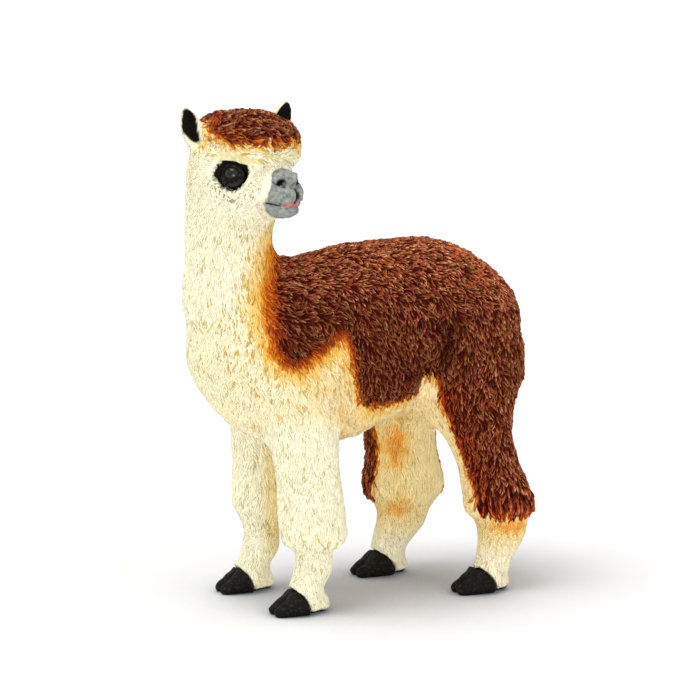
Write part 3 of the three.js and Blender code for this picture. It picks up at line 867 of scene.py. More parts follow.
def fleece_paint(name, relief):
    """Satin paint over carved fleece: the hollow colour low down, as wash and painted shade, and the crest
    colour on the ridges and the strands, as drybrushing and painted highlight.
    """
    s = Shader(name)
    tint = s.attribute("tint", "Fac")
    brush = s.noise(0.9, detail=4.0)
    grain = s.noise(4.0, detail=3.0)
    swirl = s.maths("MULTIPLY", s.noise(1.3, detail=2.0), 9.0)
    phase = s.maths("ADD", s.maths("MULTIPLY", tint, 40.0), swirl)
    wave = s.maths("SINE", s.maths("ADD", s.maths("MULTIPLY", s.attribute("across", "Fac"), 6.5), phase))
    strand = s.maths("ADD", s.maths("MULTIPLY", wave, 0.5), 0.5)
    height = s.maths("ADD", s.maths("MULTIPLY", strand, 0.55), s.maths("MULTIPLY", grain, 0.6))
    # How high and how near the light each point is, from the ridge value, the strands and the brush: the
    # lower it is, the more wash and painted shade it takes.
    wear_and_light = s.maths("ADD", s.attribute("ridge", "Fac"), s.between(height, 0.2, 0.95, -0.26, 0.26))
    wear_and_light = s.maths("ADD", wear_and_light, s.between(brush, 0.3, 0.7, -0.12, 0.12))
    amount = s.attribute("amount", "Fac")
    bare = s.maths("ADD", wear_and_light, s.between(amount, 0.0, 1.0, 0.30, 0.0))
    deep = s.between(bare, 0.66, 0.14)
    hollow = s.maths("MULTIPLY", deep, s.between(amount, 0.0, 0.8, 0.3, 1.0), clamp=True)
    base = s.mix(hollow, s.attribute("paint", "Color"), s.attribute("hollow", "Color"))
    # The highest places take the crest colour: drybrushed paint, and a painted highlight.
    drybrush_and_highlight = s.maths("MULTIPLY", s.between(wear_and_light, 0.72, 1.15), s.between(brush, 0.35, 0.62, 0.25, 0.85))
    base = s.mix(drybrush_and_highlight, base, s.attribute("crest", "Color"))
    tone = s.between(tint, 0.0, 1.0, 0.93, 1.06)
    grey = s.node("ShaderNodeCombineColor", {0: tone, 1: tone, 2: tone}).outputs[0]
    s.colour(s.mix(1.0, base, grey, "MULTIPLY"))
    s.roughness(s.between(grain, 0.3, 0.7, 0.52, 0.68))
    s.surface.inputs["Specular IOR Level"].default_value = 0.05
    s.relief(s.maths("MULTIPLY", height, s.between(amount, 0.2, 1.0, 0.35, 1.0)), relief)
    return s.material


def horn_paint():
    """Black painted claws, scuffed to brown at the edges."""
    s = Shader("hoof_black")
    ink = values_of("paint")
    scuff = s.between(s.noise(1.8, detail=6.0), 0.52, 0.74, 0.0, 0.6)
    s.colour(s.mix(scuff, (*ink.black, 1), (*srgb(62, 56, 44), 1)))
    s.roughness(s.between(s.noise(2.0), 0.3, 0.7, 0.5, 0.7))
    s.surface.inputs["Specular IOR Level"].default_value = 0.1
    s.relief(s.noise(0.7, (0.6, 0.6, 2.6), detail=5.0), 0.3)
    return s.material


def eye_paint():
    """Glossy dark eye with a barely lighter ring."""
    s = Shader("eye_gloss")
    ring = s.attribute("iris", "Fac")
    iris = s.maths("MULTIPLY", s.between(ring, 0.20, 0.27), s.between(ring, 0.46, 0.40), clamp=True)
    s.colour(s.mix(iris, (0.004, 0.003, 0.003, 1), (*srgb(26, 22, 16), 1)))
    s.surface.inputs["Roughness"].default_value = 0.24
    s.surface.inputs["Specular IOR Level"].default_value = 0.25
    s.surface.inputs["Coat Weight"].default_value = 0.15
    s.surface.inputs["Coat Roughness"].default_value = 0.1
    return s.material


def lid_paint():
    """Rough black lids with scratches of grey."""
    s = Shader("lid_black")
    ink = values_of("paint")
    scratch = s.between(s.noise(1.5, (1, 1, 1.8), detail=5.0), 0.54, 0.70, 0.0, 0.7)
    s.colour(s.mix(scratch, (*ink.black, 1), (*srgb(66, 61, 49), 1)))
    s.surface.inputs["Roughness"].default_value = 0.6
    s.surface.inputs["Specular IOR Level"].default_value = 0.08
    s.relief(s.noise(1.8, detail=4.0), 0.2)
    return s.material


# ---- Skin ----


def coat_depth(p, owner):
    """How deep the skin lies under the fleece, as a share of the full depth."""
    z = p[:, 2]
    ahead = head_place(p)[0]
    legs = on(owner, *FORE_LEGS, *HIND_LEGS)
    depth = np.where(on(owner, "neck"), 0.7, 1.0)
    boot = np.where(on(owner, *HIND_LEGS), 16.5, 15.0)
    depth = np.where(legs, 0.25 + 0.6 * step(boot - 1.5, boot + 1, z), depth)
    depth = np.where(legs & (z < 5), 0.1 + 0.15 * step(2, 5, z), depth)
    depth = np.where(on(owner, "head"), 0.2 + 0.5 * step(8, 0, ahead), depth)
    depth = np.where(on(owner, "muzzle"), 0.0, depth)
    return np.where(on(owner, *EARS), 0.1, depth)


def make_skin():
    options = values_of("skin")
    skin = copy_nodes(FLESH, "fleece_skin")
    apply_modifier(skin, "DISPLACE", strength=options.swell / MM, mid_level=0.0)
    apply_modifier(skin, "REMESH", mode="VOXEL", voxel_size=options.voxel / MM, adaptivity=0.0)
    mesh = skin.data
    p = read_points(mesh)
    owner = owners_of(p)
    fine = on(owner, "muzzle", *EARS)
    weight = np.where(fine, 0.35, 1.0)
    p = relax(p, read_edges(mesh), weight, SKIN_ROUNDS)
    write_points(mesh, p)
    depth = coat_depth(p, owner) * options.coat_depth / MM + options.swell / MM
    depth = neighbour_mean(neighbour_mean(depth[:, None], read_edges(mesh)), read_edges(mesh))
    p = p - read_normals(mesh) * depth
    write_points(mesh, p)
    write_points(mesh, soften_joins(p, read_edges(mesh), owner))
    refine_head(skin)

    p = read_points(mesh)
    owner = owners_of(p)
    edges = read_edges(mesh)
    ahead, left, rise = head_place(p)
    fine = (np.abs(left) < 12) & (rise > -9) & (ahead > 3)
    p = relax(p, edges, fine * 0.8, 6)
    write_points(mesh, p)
    p = carve_face(p, read_normals(mesh), owner)
    p = carve_body(p, read_normals(mesh), owner)
    p[:, 2] = np.maximum(p[:, 2], 0.02)
    write_points(mesh, p)

    for key, values in marks(p, owner, read_normals(mesh)).items():
        write_attribute(mesh, key, values)
    # Where the fleece covers the skin, it shows only in the gaps between locks: its ridge value drops there,
    # so it takes the hollow colour as painted shade.
    covered = np.clip(coat_depth(p, owner) * 1.6, 0, 1)
    wear_and_light = np.where(on(owner, "muzzle"), 0.60, 0.62)
    write_attribute(mesh, "ridge", wear_and_light - 0.55 * step(0.35, 0.9, covered))
    write_attribute(mesh, "across", np.zeros(len(p)))
    write_attribute(mesh, "tint", np.full(len(p), 0.6))
    mesh.materials.append(fleece_paint("skin_paint", 0.16))
    return skin, owner


def refine_head(skin):
    """Finer faces where the head is carved: the muzzle and round the eyes twice, the ears once."""
    ahead, left, rise = head_place(face_centres(skin.data))
    side = np.abs(left)
    front = (ahead > 14.2) & (side < 6) & (np.abs(rise) < 9)
    lids = (np.hypot(ahead - EYE_FOLDS[0], rise - EYE_FOLDS[1]) < 5.0) & (side > EYE_LEFT) & (side < EYE_EDGE)
    ears = (np.hypot(ahead - EAR_PLACE[0], side - EAR_PLACE[1]) < 6) & (rise > 4.5) & (side > 9)
    refine(skin, front | lids | ears)
    ahead, left, rise = head_place(face_centres(skin.data))
    side = np.abs(left)
    front = (ahead > 14.8) & (side < 6) & (np.abs(rise) < 9)
    lids = (np.hypot(ahead - EYE_PATCH[0], rise - EYE_PATCH[1]) < 4.4) & (side > EYE_LEFT) & (side < EYE_EDGE)
    refine(skin, front | lids)


def soften_joins(p, edges, owner):
    """Melts the topknot's rim into the brow, the groin into the thighs and the sleeves into the shins."""
    x, y, z = p.T
    ahead, _, rise = head_place(p)
    rim = on(owner, "topknot", "head") * step(2.6, 4.2, rise) * step(8.4, 6.8, rise)
    rim = rim * step(12.0, 9.5, ahead)
    groin = step(24, 33, z) * step(48, 43, z) * step(-34, -28, x) * step(-2, -8, x)
    melt = np.clip(rim + groin * step(13.5, 10.5, np.abs(y - MID_Y)), 0, 1)
    for leg in ("front_left", "front_right"):
        before = step(-1.5, 0.5, x - HOOVES[leg][0] + 3.4)
        melt = melt + 0.5 * on(owner, f"leg_{leg}") * before * step(8.5, 11, z) * step(18, 16, z)
    melt = melt + 0.8 * on(owner, "leg_hind_right") * step(10, 13, z) * step(21, 18, z)
    for _ in range(JOIN_ROUNDS):
        p = p + 0.5 * melt[:, None] * (neighbour_mean(p, edges) - p)
    return p


def carve_body(p, normal, owner):
    """Carves the fold before the haunch, and raises the haunch behind it."""
    behind = haunch_crease(p + np.array([3.6, 0, 0]))
    push = 0.35 * behind - 1.2 * haunch_crease(p)
    body = on(owner, "trunk", *HIND_LEGS)
    return p + normal * (push * body)[:, None]


# ---- Coat ----


# Length, width, height and waywardness of the locks of each region, as shares of those on the flank.
LOCKS = {
    "brown": (0.94, 0.86, 1.0, 0.40),
    "cream": (0.84, 0.84, 0.44, 0.30),
    "neck": (0.84, 0.68, 0.26, 0.18),
    "cheek": (0.70, 0.62, 0.30, 0.34),
    "face": (0.40, 0.50, 0.16, 0.30),
    "crown": (1.0, 0.92, 1.25, 0.45),
    "sleeve": (0.90, 0.78, 0.33, 0.24),
    "thigh": (1.0, 0.96, 0.86, 0.34),
    "shin": (0.54, 0.60, 0.22, 0.20),
    "hem": (2.0, 1.6, 1.7, 0.14),
    "ear": (0.45, 0.60, 0.20, 0.15),
}


def lock_sizes(p, owner):
    """Length, width, height and waywardness of the lock at each root."""
    coat = values_of("coat")
    x, z = p[:, 0], p[:, 2]
    side = np.abs(p[:, 1] - MID_Y)
    ahead, left, rise = head_place(p)
    depth = brown_depth(p, owner)
    brown = step(-1.5, 1.0, depth)
    front = on(owner, *FORE_LEGS) * 1.0
    hind = on(owner, *HIND_LEGS) * 1.0
    skull = step(JAW_Z - 4, JAW_Z + 4, z)
    upright = on(owner, "neck", "trunk", "head") * step(9, 16, x)
    boot = np.where(hind > 0, 15.2, 13.6)
    shin = np.maximum(front, hind) * step(boot + 0.5, boot - 1.5, z)
    cuff = hind * brown * bump(z, 19.8, 2.2) * step(17.2, 17.8, z)
    hem = np.maximum(front * 0.4 * bump(z, boot + 2.0, 1.6), cuff)
    sizes = np.tile(LOCKS["cream"], (len(p), 1))
    regions = (
        ("brown", brown * (1 - hind)),
        ("neck", upright * step(57, 66, z) * (1 - brown)),
        ("cheek", upright * skull),
        ("face", upright * skull * step(1, 9, ahead)),
        ("sleeve", front),
        ("thigh", hind * brown),
        ("sleeve", hind * (1 - brown)),
        ("shin", shin),
        ("hem", hem),
        ("crown", on(owner, "topknot") * 1.0),
        ("ear", on(owner, *EARS) * 1.0),
    )
    for kind, share in regions:
        sizes = blend(sizes, np.array(LOCKS[kind]), share)
    long, wide, high, wild = sizes.T
    rim = on(owner, "topknot") * step(8.5, 5.5, rise)
    long = long * (1 - 0.5 * rim * step(12, 10, ahead))
    wide = wide * (1 + 0.35 * rim)
    high = high * (1 - 0.2 * rim) * (1 - 0.7 * painted_shade_pits(p) * brown)
    beside = on(owner, "head") * (np.abs(left) > EYE_LEFT)
    edge = bump(np.hypot(*eye_patch(ahead, rise)), 1.3, 0.35) * beside
    long = long * (1 - 0.35 * edge)
    high = high * (1 - 0.5 * edge)
    high = np.where((hind > 0) & (depth < -2) & (side < 12), high * 0.7, high)
    return long * coat.length / MM, wide * coat.width / MM, high * coat.height / MM, wild


def coat_flow(p, normal, owner):
    """The way that the fleece lies at each root."""
    x, z = p[:, 0], p[:, 2]
    out = np.sign(p[:, 1] - MID_Y)
    top = step(0.1, 0.95, normal[:, 2])
    sweep = 0.30 + 1.3 * top + 0.9 * step(6, 15, x) * step(50, 58, z)
    sweep = sweep * step(25, 17, x) * (0.35 + 0.65 * step(-33, -20, x))
    flow = np.stack([-sweep, out * 0.5 * top, -np.ones(len(p))], axis=1)
    legs = on(owner, *FORE_LEGS, *HIND_LEGS)
    flow[legs] = [-0.08, 0, -1]
    thigh = on(owner, *HIND_LEGS) & (z > 24)
    flow[thigh, 0] = -0.30 + 0.35 * step(-32, -16, x[thigh])
    flow[on(owner, "neck")] = [-0.04, 0, -1]

    ahead, left, rise = head_place(p)
    cheek = -0.45 * HEAD_AHEAD - 0.85 * UP
    eye = np.stack([ahead, rise], axis=1) - EYE_FOLDS
    round_eye = unit(eye[:, 0:1] * HEAD_AHEAD + eye[:, 1:2] * UP)
    near = bump(np.hypot(*eye.T), 3.6, 2.0) * (np.abs(left) > EYE_LEFT)
    onto_bridge = step(1.5, 4.5, rise) * step(6, 10, ahead)
    face = cheek + 1.4 * near[:, None] * round_eye + onto_bridge[:, None] * (0.9 * HEAD_AHEAD + 0.4 * UP)
    head = on(owner, "head", "neck")
    flow[head] = blend(flow[head], face[head], step(JAW_Z - 3, JAW_Z + 3, z[head]))

    crown = on(owner, "topknot")
    fan = unit(np.stack([ahead - 0.5, left * 0.9], axis=1))
    fall = 0.15 + 0.55 * step(0.6, 0.0, normal[:, 2])
    over = fan[:, 0:1] * HEAD_AHEAD + fan[:, 1:2] * HEAD_LEFT - fall[:, None] * UP
    flow[crown] = (over + 0.35 * HEAD_AHEAD + 0.55 * HEAD_LEFT)[crown]
    for side, sign in SIDES.items():
        mine = on(owner, f"ear_{side}")
        flow[mine] = ear_axes(sign)[3]
    flow = flow - normal * (flow * normal).sum(axis=1, keepdims=True)
    return unit(flow)


# One lock: five rings of three corners and a tip, as shares of its length, width and height.
ROOT_AT = 0.2  # where along the lock its root is
STATIONS = np.array([0.0, 0.22, 0.45, 0.66, 0.86, 1.0])
BREADTHS = np.array([0.55, 0.90, 1.0, 0.90, 0.58])
RIDGES = np.array([-0.10, 0.32, 0.72, 1.0, 1.06, 0.72])
EDGES = np.array([-0.40, -0.36, -0.25, -0.04, 0.26])  # height of a lock's edges, which lift towards its tip
SHEEN = np.array([0.0, 0.12, 0.42, 0.78, 1.0, 0.94])  # how near the light each ring's ridge is
LOCK_VERTICES = 16
LOCK_TIP = 15
LOCK_MIDDLE = 7  # the ridge's middle, where a lock's paint is taken
LOCK_FACES = []
for ring in range(4):
    a, b = ring * 3, ring * 3 + 3
    LOCK_FACES.append((a, a + 2, b + 2, b))
LOCK_FACES.append((12, 14, LOCK_TIP))
LOCK_FACES.append((0, 1, 2))
for ring in range(4):
    a, b = ring * 3, ring * 3 + 3
    LOCK_FACES.append((a, b, b + 1, a + 1))
    LOCK_FACES.append((a + 1, b + 1, b + 2, a + 2))
LOCK_FACES.append((12, LOCK_TIP, 13))
LOCK_FACES.append((13, LOCK_TIP, 14))
ACROSS = np.array([-1.0, 0.0, 1.0] * 5 + [0.0])
ALONG = np.repeat(STATIONS, [3, 3, 3, 3, 3, 1])


def scatter_roots(mesh, owner):
    """Even, seeded roots over the furred skin. Returns places, normals and owners."""
    coat = values_of("coat")
    rng = np.random.default_rng(coat.seed)
    p = read_points(mesh)
    normal = read_normals(mesh)
    corners = triangles_of(mesh)
    a, b, c = p[corners[:, 0]], p[corners[:, 1]], p[corners[:, 2]]
    area = np.linalg.norm(np.cross(b - a, c - a), axis=1) / 2
    picks = rng.choice(len(corners), CANDIDATES, p=area / area.sum())
    u, v = rng.random(len(picks)), rng.random(len(picks))
    flip = u + v > 1
    u[flip], v[flip] = 1 - u[flip], 1 - v[flip]
    w = 1 - u - v
    place = w[:, None] * a[picks] + u[:, None] * b[picks] + v[:, None] * c[picks]
    slope = unit(
        w[:, None] * normal[corners[picks, 0]]
        + u[:, None] * normal[corners[picks, 1]]
        + v[:, None] * normal[corners[picks, 2]]
    )
    whose = owner[corners[picks, 0]]
    keep = furred(place, slope, whose)
    place, slope, whose = place[keep], slope[keep], whose[keep]
    long, wide, _, _ = lock_sizes(place, whose)
    kept = spaced(place, coat.spacing * np.sqrt(long * wide))
    return place[kept], slope[kept], whose[kept]


def spaced(place, reach):
    """The places that are left when each one clears what lies within its reach."""
    tree = KDTree(len(place))
    for index, q in enumerate(place):
        tree.insert(q, index)
    tree.balance()
    free = np.ones(len(place), bool)
    kept = []
    for index in range(len(place)):
        if not free[index]:
            continue
        kept.append(index)
        for _, other, _ in tree.find_range(place[index], reach[index]):
            free[other] = False
    return kept


def furred(p, normal, owner):
    """Which places carry locks: not the muzzle, the eyes, the hollow of the ears or the soles."""
    ahead, left, rise = head_place(p)
    keep = ~on(owner, "muzzle")
    start = 15.0 + 0.35 * np.maximum(rise + 0.8, 0)
    keep &= ~(on(owner, "head") & (ahead > start - 0.6))
    bare = np.where(on(owner, "topknot"), 1.6, 1.3)
    keep &= ~((np.hypot(*eye_patch(ahead, rise)) < bare) & (np.abs(left) > EYE_LEFT))
    for side, sign in SIDES.items():
        mine = on(owner, f"ear_{side}")
        place, face, wide, tall = ear_axes(sign)
        q = p - place
        keep &= ~(mine & (normal @ face > 0.1))
        keep &= ~(mine & (q @ tall > 4.2))
        before = (q @ face > -1.2) & (q @ face < 3.4) & (np.abs(q @ wide) < 3.7)
        keep &= ~(on(owner, "topknot", "head") & before & (q @ tall > -0.8) & (q @ tall < 5))
    return keep & (p[:, 2] > 1.6)


def lay_locks(root, normal, owner, skin_tree):
    """Vertices of every lock, 16 to a lock, and its own random tint."""
    coat = values_of("coat")
    rng = np.random.default_rng(coat.seed + 1)
    count = len(root)
    long, wide, high, wild = lock_sizes(root, owner)
    long = long * rng.uniform(0.68, 1.3, count)
    wide = wide * rng.uniform(0.7, 1.3, count)
    high = high * rng.uniform(0.65, 1.4, count) * (1 + 0.25 * ripple(root, 4.0, 41))
    flow = coat_flow(root, normal, owner)
    turn = wild * (1.1 * ripple(root, 5.5, 43) + 0.9 * ripple(root, 2.4, 45) + 0.55 * rng.normal(size=count))
    side = np.cross(normal, flow)
    flow = flow * np.cos(turn)[:, None] + side * np.sin(turn)[:, None]
    side = np.cross(normal, flow)
    curl = rng.normal(size=count) * 0.22 * (0.5 + wild)
    verts = np.empty((count, LOCK_VERTICES, 3))
    for k, share in enumerate(STATIONS):
        run = (share - ROOT_AT) * long
        sway = curl * long * (share - ROOT_AT) ** 2 * 1.6
        guess = root + flow * run[:, None] + side * sway[:, None]
        hits = [skin_tree.find_nearest(q) for q in guess]
        ground = np.array([h[0] for h in hits])
        facing = np.array([h[1] for h in hits])
        through = (facing * normal).sum(1) < -0.3
        ground[through] = guess[through]
        facing[through] = normal[through]
        up = unit(facing + normal)
        ridge = ground + up * (high * RIDGES[k])[:, None]
        if k == 5:
            verts[:, LOCK_TIP] = ridge
            continue
        base = high * EDGES[k]
        half = wide / 2 * BREADTHS[k]
        verts[:, k * 3] = ground + up * base[:, None] - side * half[:, None]
        verts[:, k * 3 + 1] = ridge
        verts[:, k * 3 + 2] = ground + up * base[:, None] + side * half[:, None]
    return verts, rng.random(count)


UNWRAP_VOXEL = 1.3
PATCH = 0.003  # width of one lock's patch in the layout


def skin_unwrap(skin):
    """A coarse copy of the skin with a flat layout, used to give each root its own place in it."""
    twin = bpy.data.objects.new("unwrap", skin.data.copy())
    bpy.context.scene.collection.objects.link(twin)
    apply_modifier(twin, "REMESH", mode="VOXEL", voxel_size=UNWRAP_VOXEL, adaptivity=0.0)
    edit_all(twin, bpy.ops.uv.smart_project, angle_limit=math.radians(66), island_margin=0.004)
    mesh = twin.data
    p = read_points(mesh)
    corners = triangles_of(mesh)
    loops = read(mesh.loop_triangles, "loops", 3, np.int32)
    uv = read(mesh.uv_layers.active.data, "uv", 2)[loops]
    tree = BVHTree.FromPolygons([Vector(q) for q in p], corners.tolist())
    bpy.data.objects.remove(twin)
    return tree, p[corners], uv


def places_in_unwrap(root, unwrap):
    tree, corners, uv = unwrap
    found = [tree.find_nearest(q) for q in root]
    spot = np.array([f[0] for f in found])
    face = np.array([f[2] for f in found])
    a, b, c = corners[face, 0], corners[face, 1], corners[face, 2]
    whole = np.cross(b - a, c - a)
    size = np.maximum((whole * whole).sum(axis=1), 1e-12)
    u = (np.cross(c - b, spot - b) * whole).sum(axis=1) / size
    v = (np.cross(a - c, spot - c) * whole).sum(axis=1) / size
    w = 1 - u - v
    return u[:, None] * uv[face, 0] + v[:, None] * uv[face, 1] + w[:, None] * uv[face, 2]


def coat_piece(name, verts, tint, places, look):
    """One joined mesh of locks, with its marks and its layout."""
    count = len(verts)
    mesh = bpy.data.meshes.new(name)
    sizes = np.array([len(f) for f in LOCK_FACES])
    flat = np.array([v for f in LOCK_FACES for v in f])
    corner = (flat[None, :] + np.arange(count)[:, None] * LOCK_VERTICES).ravel()
    totals = np.tile(sizes, count)
    mesh.vertices.add(count * LOCK_VERTICES)
    mesh.loops.add(len(corner))
    mesh.polygons.add(len(totals))
    mesh.vertices.foreach_set("co", verts.astype(np.float32).ravel())
    mesh.loops.foreach_set("vertex_index", corner.astype(np.int32))
    mesh.polygons.foreach_set("loop_start", (np.cumsum(totals) - totals).astype(np.int32))
    mesh.update(calc_edges=True)
    layer = mesh.uv_layers.new(name="OFBake")
    spread = np.stack([ACROSS[flat] * PATCH / 2, (ALONG[flat] - 0.5) * PATCH], axis=1)
    uv = np.clip(places[:, None, :] + spread[None, :, :], 0.0, 1.0)
    layer.data.foreach_set("uv", uv.astype(np.float32).ravel())
    # A lock's sides get half its middle's ridge value and so lean to the hollow colour, painted shade along
    # its edges; SHEEN darkens its root as painted shade and lightens its tip as painted highlight.
    ridge = np.append(np.repeat(SHEEN[:5], 3), SHEEN[5]) * np.where(ACROSS == 0, 1.0, 0.50)
    write_attribute(mesh, "ridge", np.tile(ridge, count))
    write_attribute(mesh, "across", np.tile(ACROSS, count))
    write_attribute(mesh, "tint", np.repeat(tint, LOCK_VERTICES))
    for key, values in look.items():
        write_attribute(mesh, key, np.repeat(values, LOCK_VERTICES, axis=0))
    piece = bpy.data.objects.new(name, mesh)
    bpy.context.scene.collection.objects.link(piece)
    if sum(len(f) - 2 for f in LOCK_FACES) * count >= MOST_TRIANGLES:
        raise RuntimeError(f"{name} has too many locks: {count}")
    return piece


def coat_groups(p, owner, depth):
    """Which coat piece each lock belongs to, and the finish that it is named after."""
    left = p[:, 1] > MID_Y
    trunk = on(owner, "trunk")
    brown = depth > 0
    fore = p[:, 0] > -4
    groups = {
        "coat_shoulder_left": (trunk & brown & left & fore, "brown_fleece"),
        "coat_shoulder_right": (trunk & brown & ~left & fore, "brown_fleece"),
        "coat_flank_left": (trunk & brown & left & ~fore, "brown_fleece"),
        "coat_flank_right": (trunk & brown & ~left & ~fore, "brown_fleece"),
        "coat_chest": (trunk & ~brown, "cream_fleece"),
        "coat_neck": (on(owner, "neck"), "cream_fleece"),
        "coat_face": (on(owner, "head", *EARS), "cream_fleece"),
        "coat_topknot": (on(owner, "topknot"), "brown_fleece"),
        "coat_tail": (on(owner, "tail"), "brown_fleece"),
    }
    for leg in LEGS:
        finish = "brown_fleece" if leg.startswith("hind") else "cream_fleece"
        groups[f"coat_{leg}"] = (on(owner, f"leg_{leg}"), finish)
    return groups


def make_coat(skin, owner):
    mesh = skin.data
    root, normal, whose = scatter_roots(mesh, owner)
    tree = BVHTree.FromPolygons([Vector(q) for q in read_points(mesh)], triangles_of(mesh).tolist())
    verts, tint = lay_locks(root, normal, whose, tree)
    verts[:, :, 2] = np.maximum(verts[:, :, 2], 0.05)
    rng = np.random.default_rng(TINT_SEED)
    middle = verts[:, LOCK_MIDDLE]
    look = marks(middle, whose, normal, rng.normal(size=len(root)) * 0.45)
    places = places_in_unwrap(root, skin_unwrap(skin))
    material = fleece_paint("fleece_paint", 0.14)
    for name, (mine, finish) in coat_groups(root, whose, brown_depth(root, whose)).items():
        # The marks of this piece's locks, with their painted light and shade.
        wear_and_light = {key: values[mine] for key, values in look.items()}
        piece = coat_piece(name, verts[mine], tint[mine], places[mine], wear_and_light)
        piece.data.materials.append(material)
        finish_piece(piece, finish)


# ---- Eyes and hooves ----


def eye_axes(sign):
    """The way an eye looks, and the ways along and up its lids."""
    look = unit(head_vector(0.40, 0.84 * sign, 0.34))
    along = unit(head_vector(0.9, -0.42 * sign, 0.02))
    along = unit(along - look * (along @ look))
    return look, along, unit(np.cross(look, along)) * sign


def make_eye(side, sign):
    centre = EYES[side]
    look, along, _ = eye_axes(sign)
    deselect()
    bpy.ops.mesh.primitive_uv_sphere_add(segments=64, ring_count=48, radius=EYE_RADIUS)
    ball = bpy.context.object
    ball.name = f"eyeball_{side}"
    p = read_points(ball.data)
    turn = np.stack([along, np.cross(look, along), look], axis=1)
    off = np.arccos(np.clip(p[:, 2] / EYE_RADIUS, -1, 1))
    dome = 1 + 0.055 * step(0.85, 0.0, off)
    q = (p * dome[:, None]) @ turn.T + centre
    write_points(ball.data, q)
    write_attribute(ball.data, "iris", off)
    ball.data.materials.append(eye_paint())
    finish_piece(ball, "eye", f"eye_{side}")
    make_lids(side, sign)


def make_lids(side, sign):
    """A ring of skin that hugs the eyeball, open in an almond shape."""
    centre = EYES[side]
    look, along, tall = eye_axes(sign)
    reach = 2.0
    deselect()
    bpy.ops.mesh.primitive_torus_add(
        major_segments=96, minor_segments=20, major_radius=reach, minor_radius=0.5
    )
    lids = bpy.context.object
    lids.name = f"eyelids_{side}"
    p = read_points(lids.data)
    turn = np.arctan2(p[:, 1], p[:, 0])
    tube = np.arctan2(p[:, 2], np.hypot(p[:, 0], p[:, 1]) - reach)
    corner = np.abs(np.cos(turn)) ** 3
    opening = np.where(np.sin(turn) > 0, 0.40, 0.42) + 0.14 * corner
    thick = values_of("skin").lid / MM * (1.0 + 0.25 * step(0, 1, np.sin(turn)) - 0.25 * corner)
    spread = 0.40 * (1 - np.cos(tube)) * (0.9 + 0.2 * np.sin(turn * 3 + 0.6))
    angle = opening + spread * (np.cos(tube) + 1.02) / 2.02 + 0.36 * (np.cos(tube) + 1) / 2
    height = EYE_RADIUS + 0.05 + thick * (0.15 + np.maximum(np.sin(tube), -0.6))
    height = height - 0.35 * step(0.9, 1.25, angle)
    crease = 0.16 * bump(angle, opening + 0.30, 0.07) + 0.12 * bump(angle, opening + 0.58, 0.06)
    crease = crease * (1 + 0.5 * np.sin(turn * 2.0 + 0.8)) - 0.06 * np.sin(turn * 5 + angle * 7)
    height = height - crease
    flat = np.sin(angle) * height
    q = centre + (
        np.outer(flat * np.cos(turn), along)
        + np.outer(flat * np.sin(turn), tall)
        + np.outer(np.cos(angle) * height, look)
    )
    write_points(lids.data, q)
    edit_all(lids, bpy.ops.mesh.normals_make_consistent, inside=False)
    lids.data.materials.append(lid_paint())
    finish_piece(lids, "eye")


def make_hoof(leg):
    """Two smooth claws with a cleft, with a little wear."""
    claws = copy_nodes([f"hoof_{leg}"], f"claws_{leg}")
    swell = 0.1
    apply_modifier(claws, "DISPLACE", strength=swell, mid_level=0.0)
    apply_modifier(claws, "REMESH", mode="VOXEL", voxel_size=CLAW_VOXEL, adaptivity=0.0)
    mesh = claws.data
    p = relax(read_points(mesh), read_edges(mesh), np.ones(len(mesh.vertices)), 4)
    write_points(mesh, p)
    normal = read_normals(mesh)
    p = p - swell * normal
    middle = HOOVES[leg]
    wear = 0.06 * ripple(p, 1.6, 51) + 0.03 * np.sin(p[:, 2] * 3.2 + p[:, 0] * 1.1)
    p = p + normal * (wear * step(0.3, 1.0, p[:, 2]))[:, None]
    cleft = bump(p[:, 1], middle[1], 0.22) * step(middle[0] - 2.5, middle[0] + 1, p[:, 0])
    p = p - normal * (0.25 * cleft)[:, None]
    p[:, 2] = np.maximum(p[:, 2], 0.0)
    write_points(mesh, p)
    mesh.materials.append(horn_paint())
    finish_piece(claws, "hoof", f"hoof_{leg}")


# ---- Stage ----


def aim(thing, spot):
    thing.rotation_mode = "QUATERNION"
    thing.rotation_quaternion = (Vector(spot) - thing.location).to_track_quat("-Z", "Y")


def add_sun(name, way, strength, softness):
    light = bpy.data.lights.new(name, "SUN")
    light.energy = strength
    light.angle = math.radians(softness)
    lamp = bpy.data.objects.new(name, light)
    bpy.context.scene.collection.objects.link(lamp)
    lamp.location = Vector(way) * 0.6
    aim(lamp, (0, 0, 0.04))


def seen_by_rays(tree):
    """A socket at 1 for the rays that show the backdrop as it is: to the eye, to gloss and through glass."""
    path = tree.nodes.new("ShaderNodeLightPath")
    seen = path.outputs["Is Camera Ray"]
    for kind in ("Is Glossy Ray", "Is Transmission Ray"):
        most = tree.nodes.new("ShaderNodeMath")
        most.operation = "MAXIMUM"
        tree.links.new(seen, most.inputs[0])
        tree.links.new(path.outputs[kind], most.inputs[1])
        seen = most.outputs[0]
    return seen


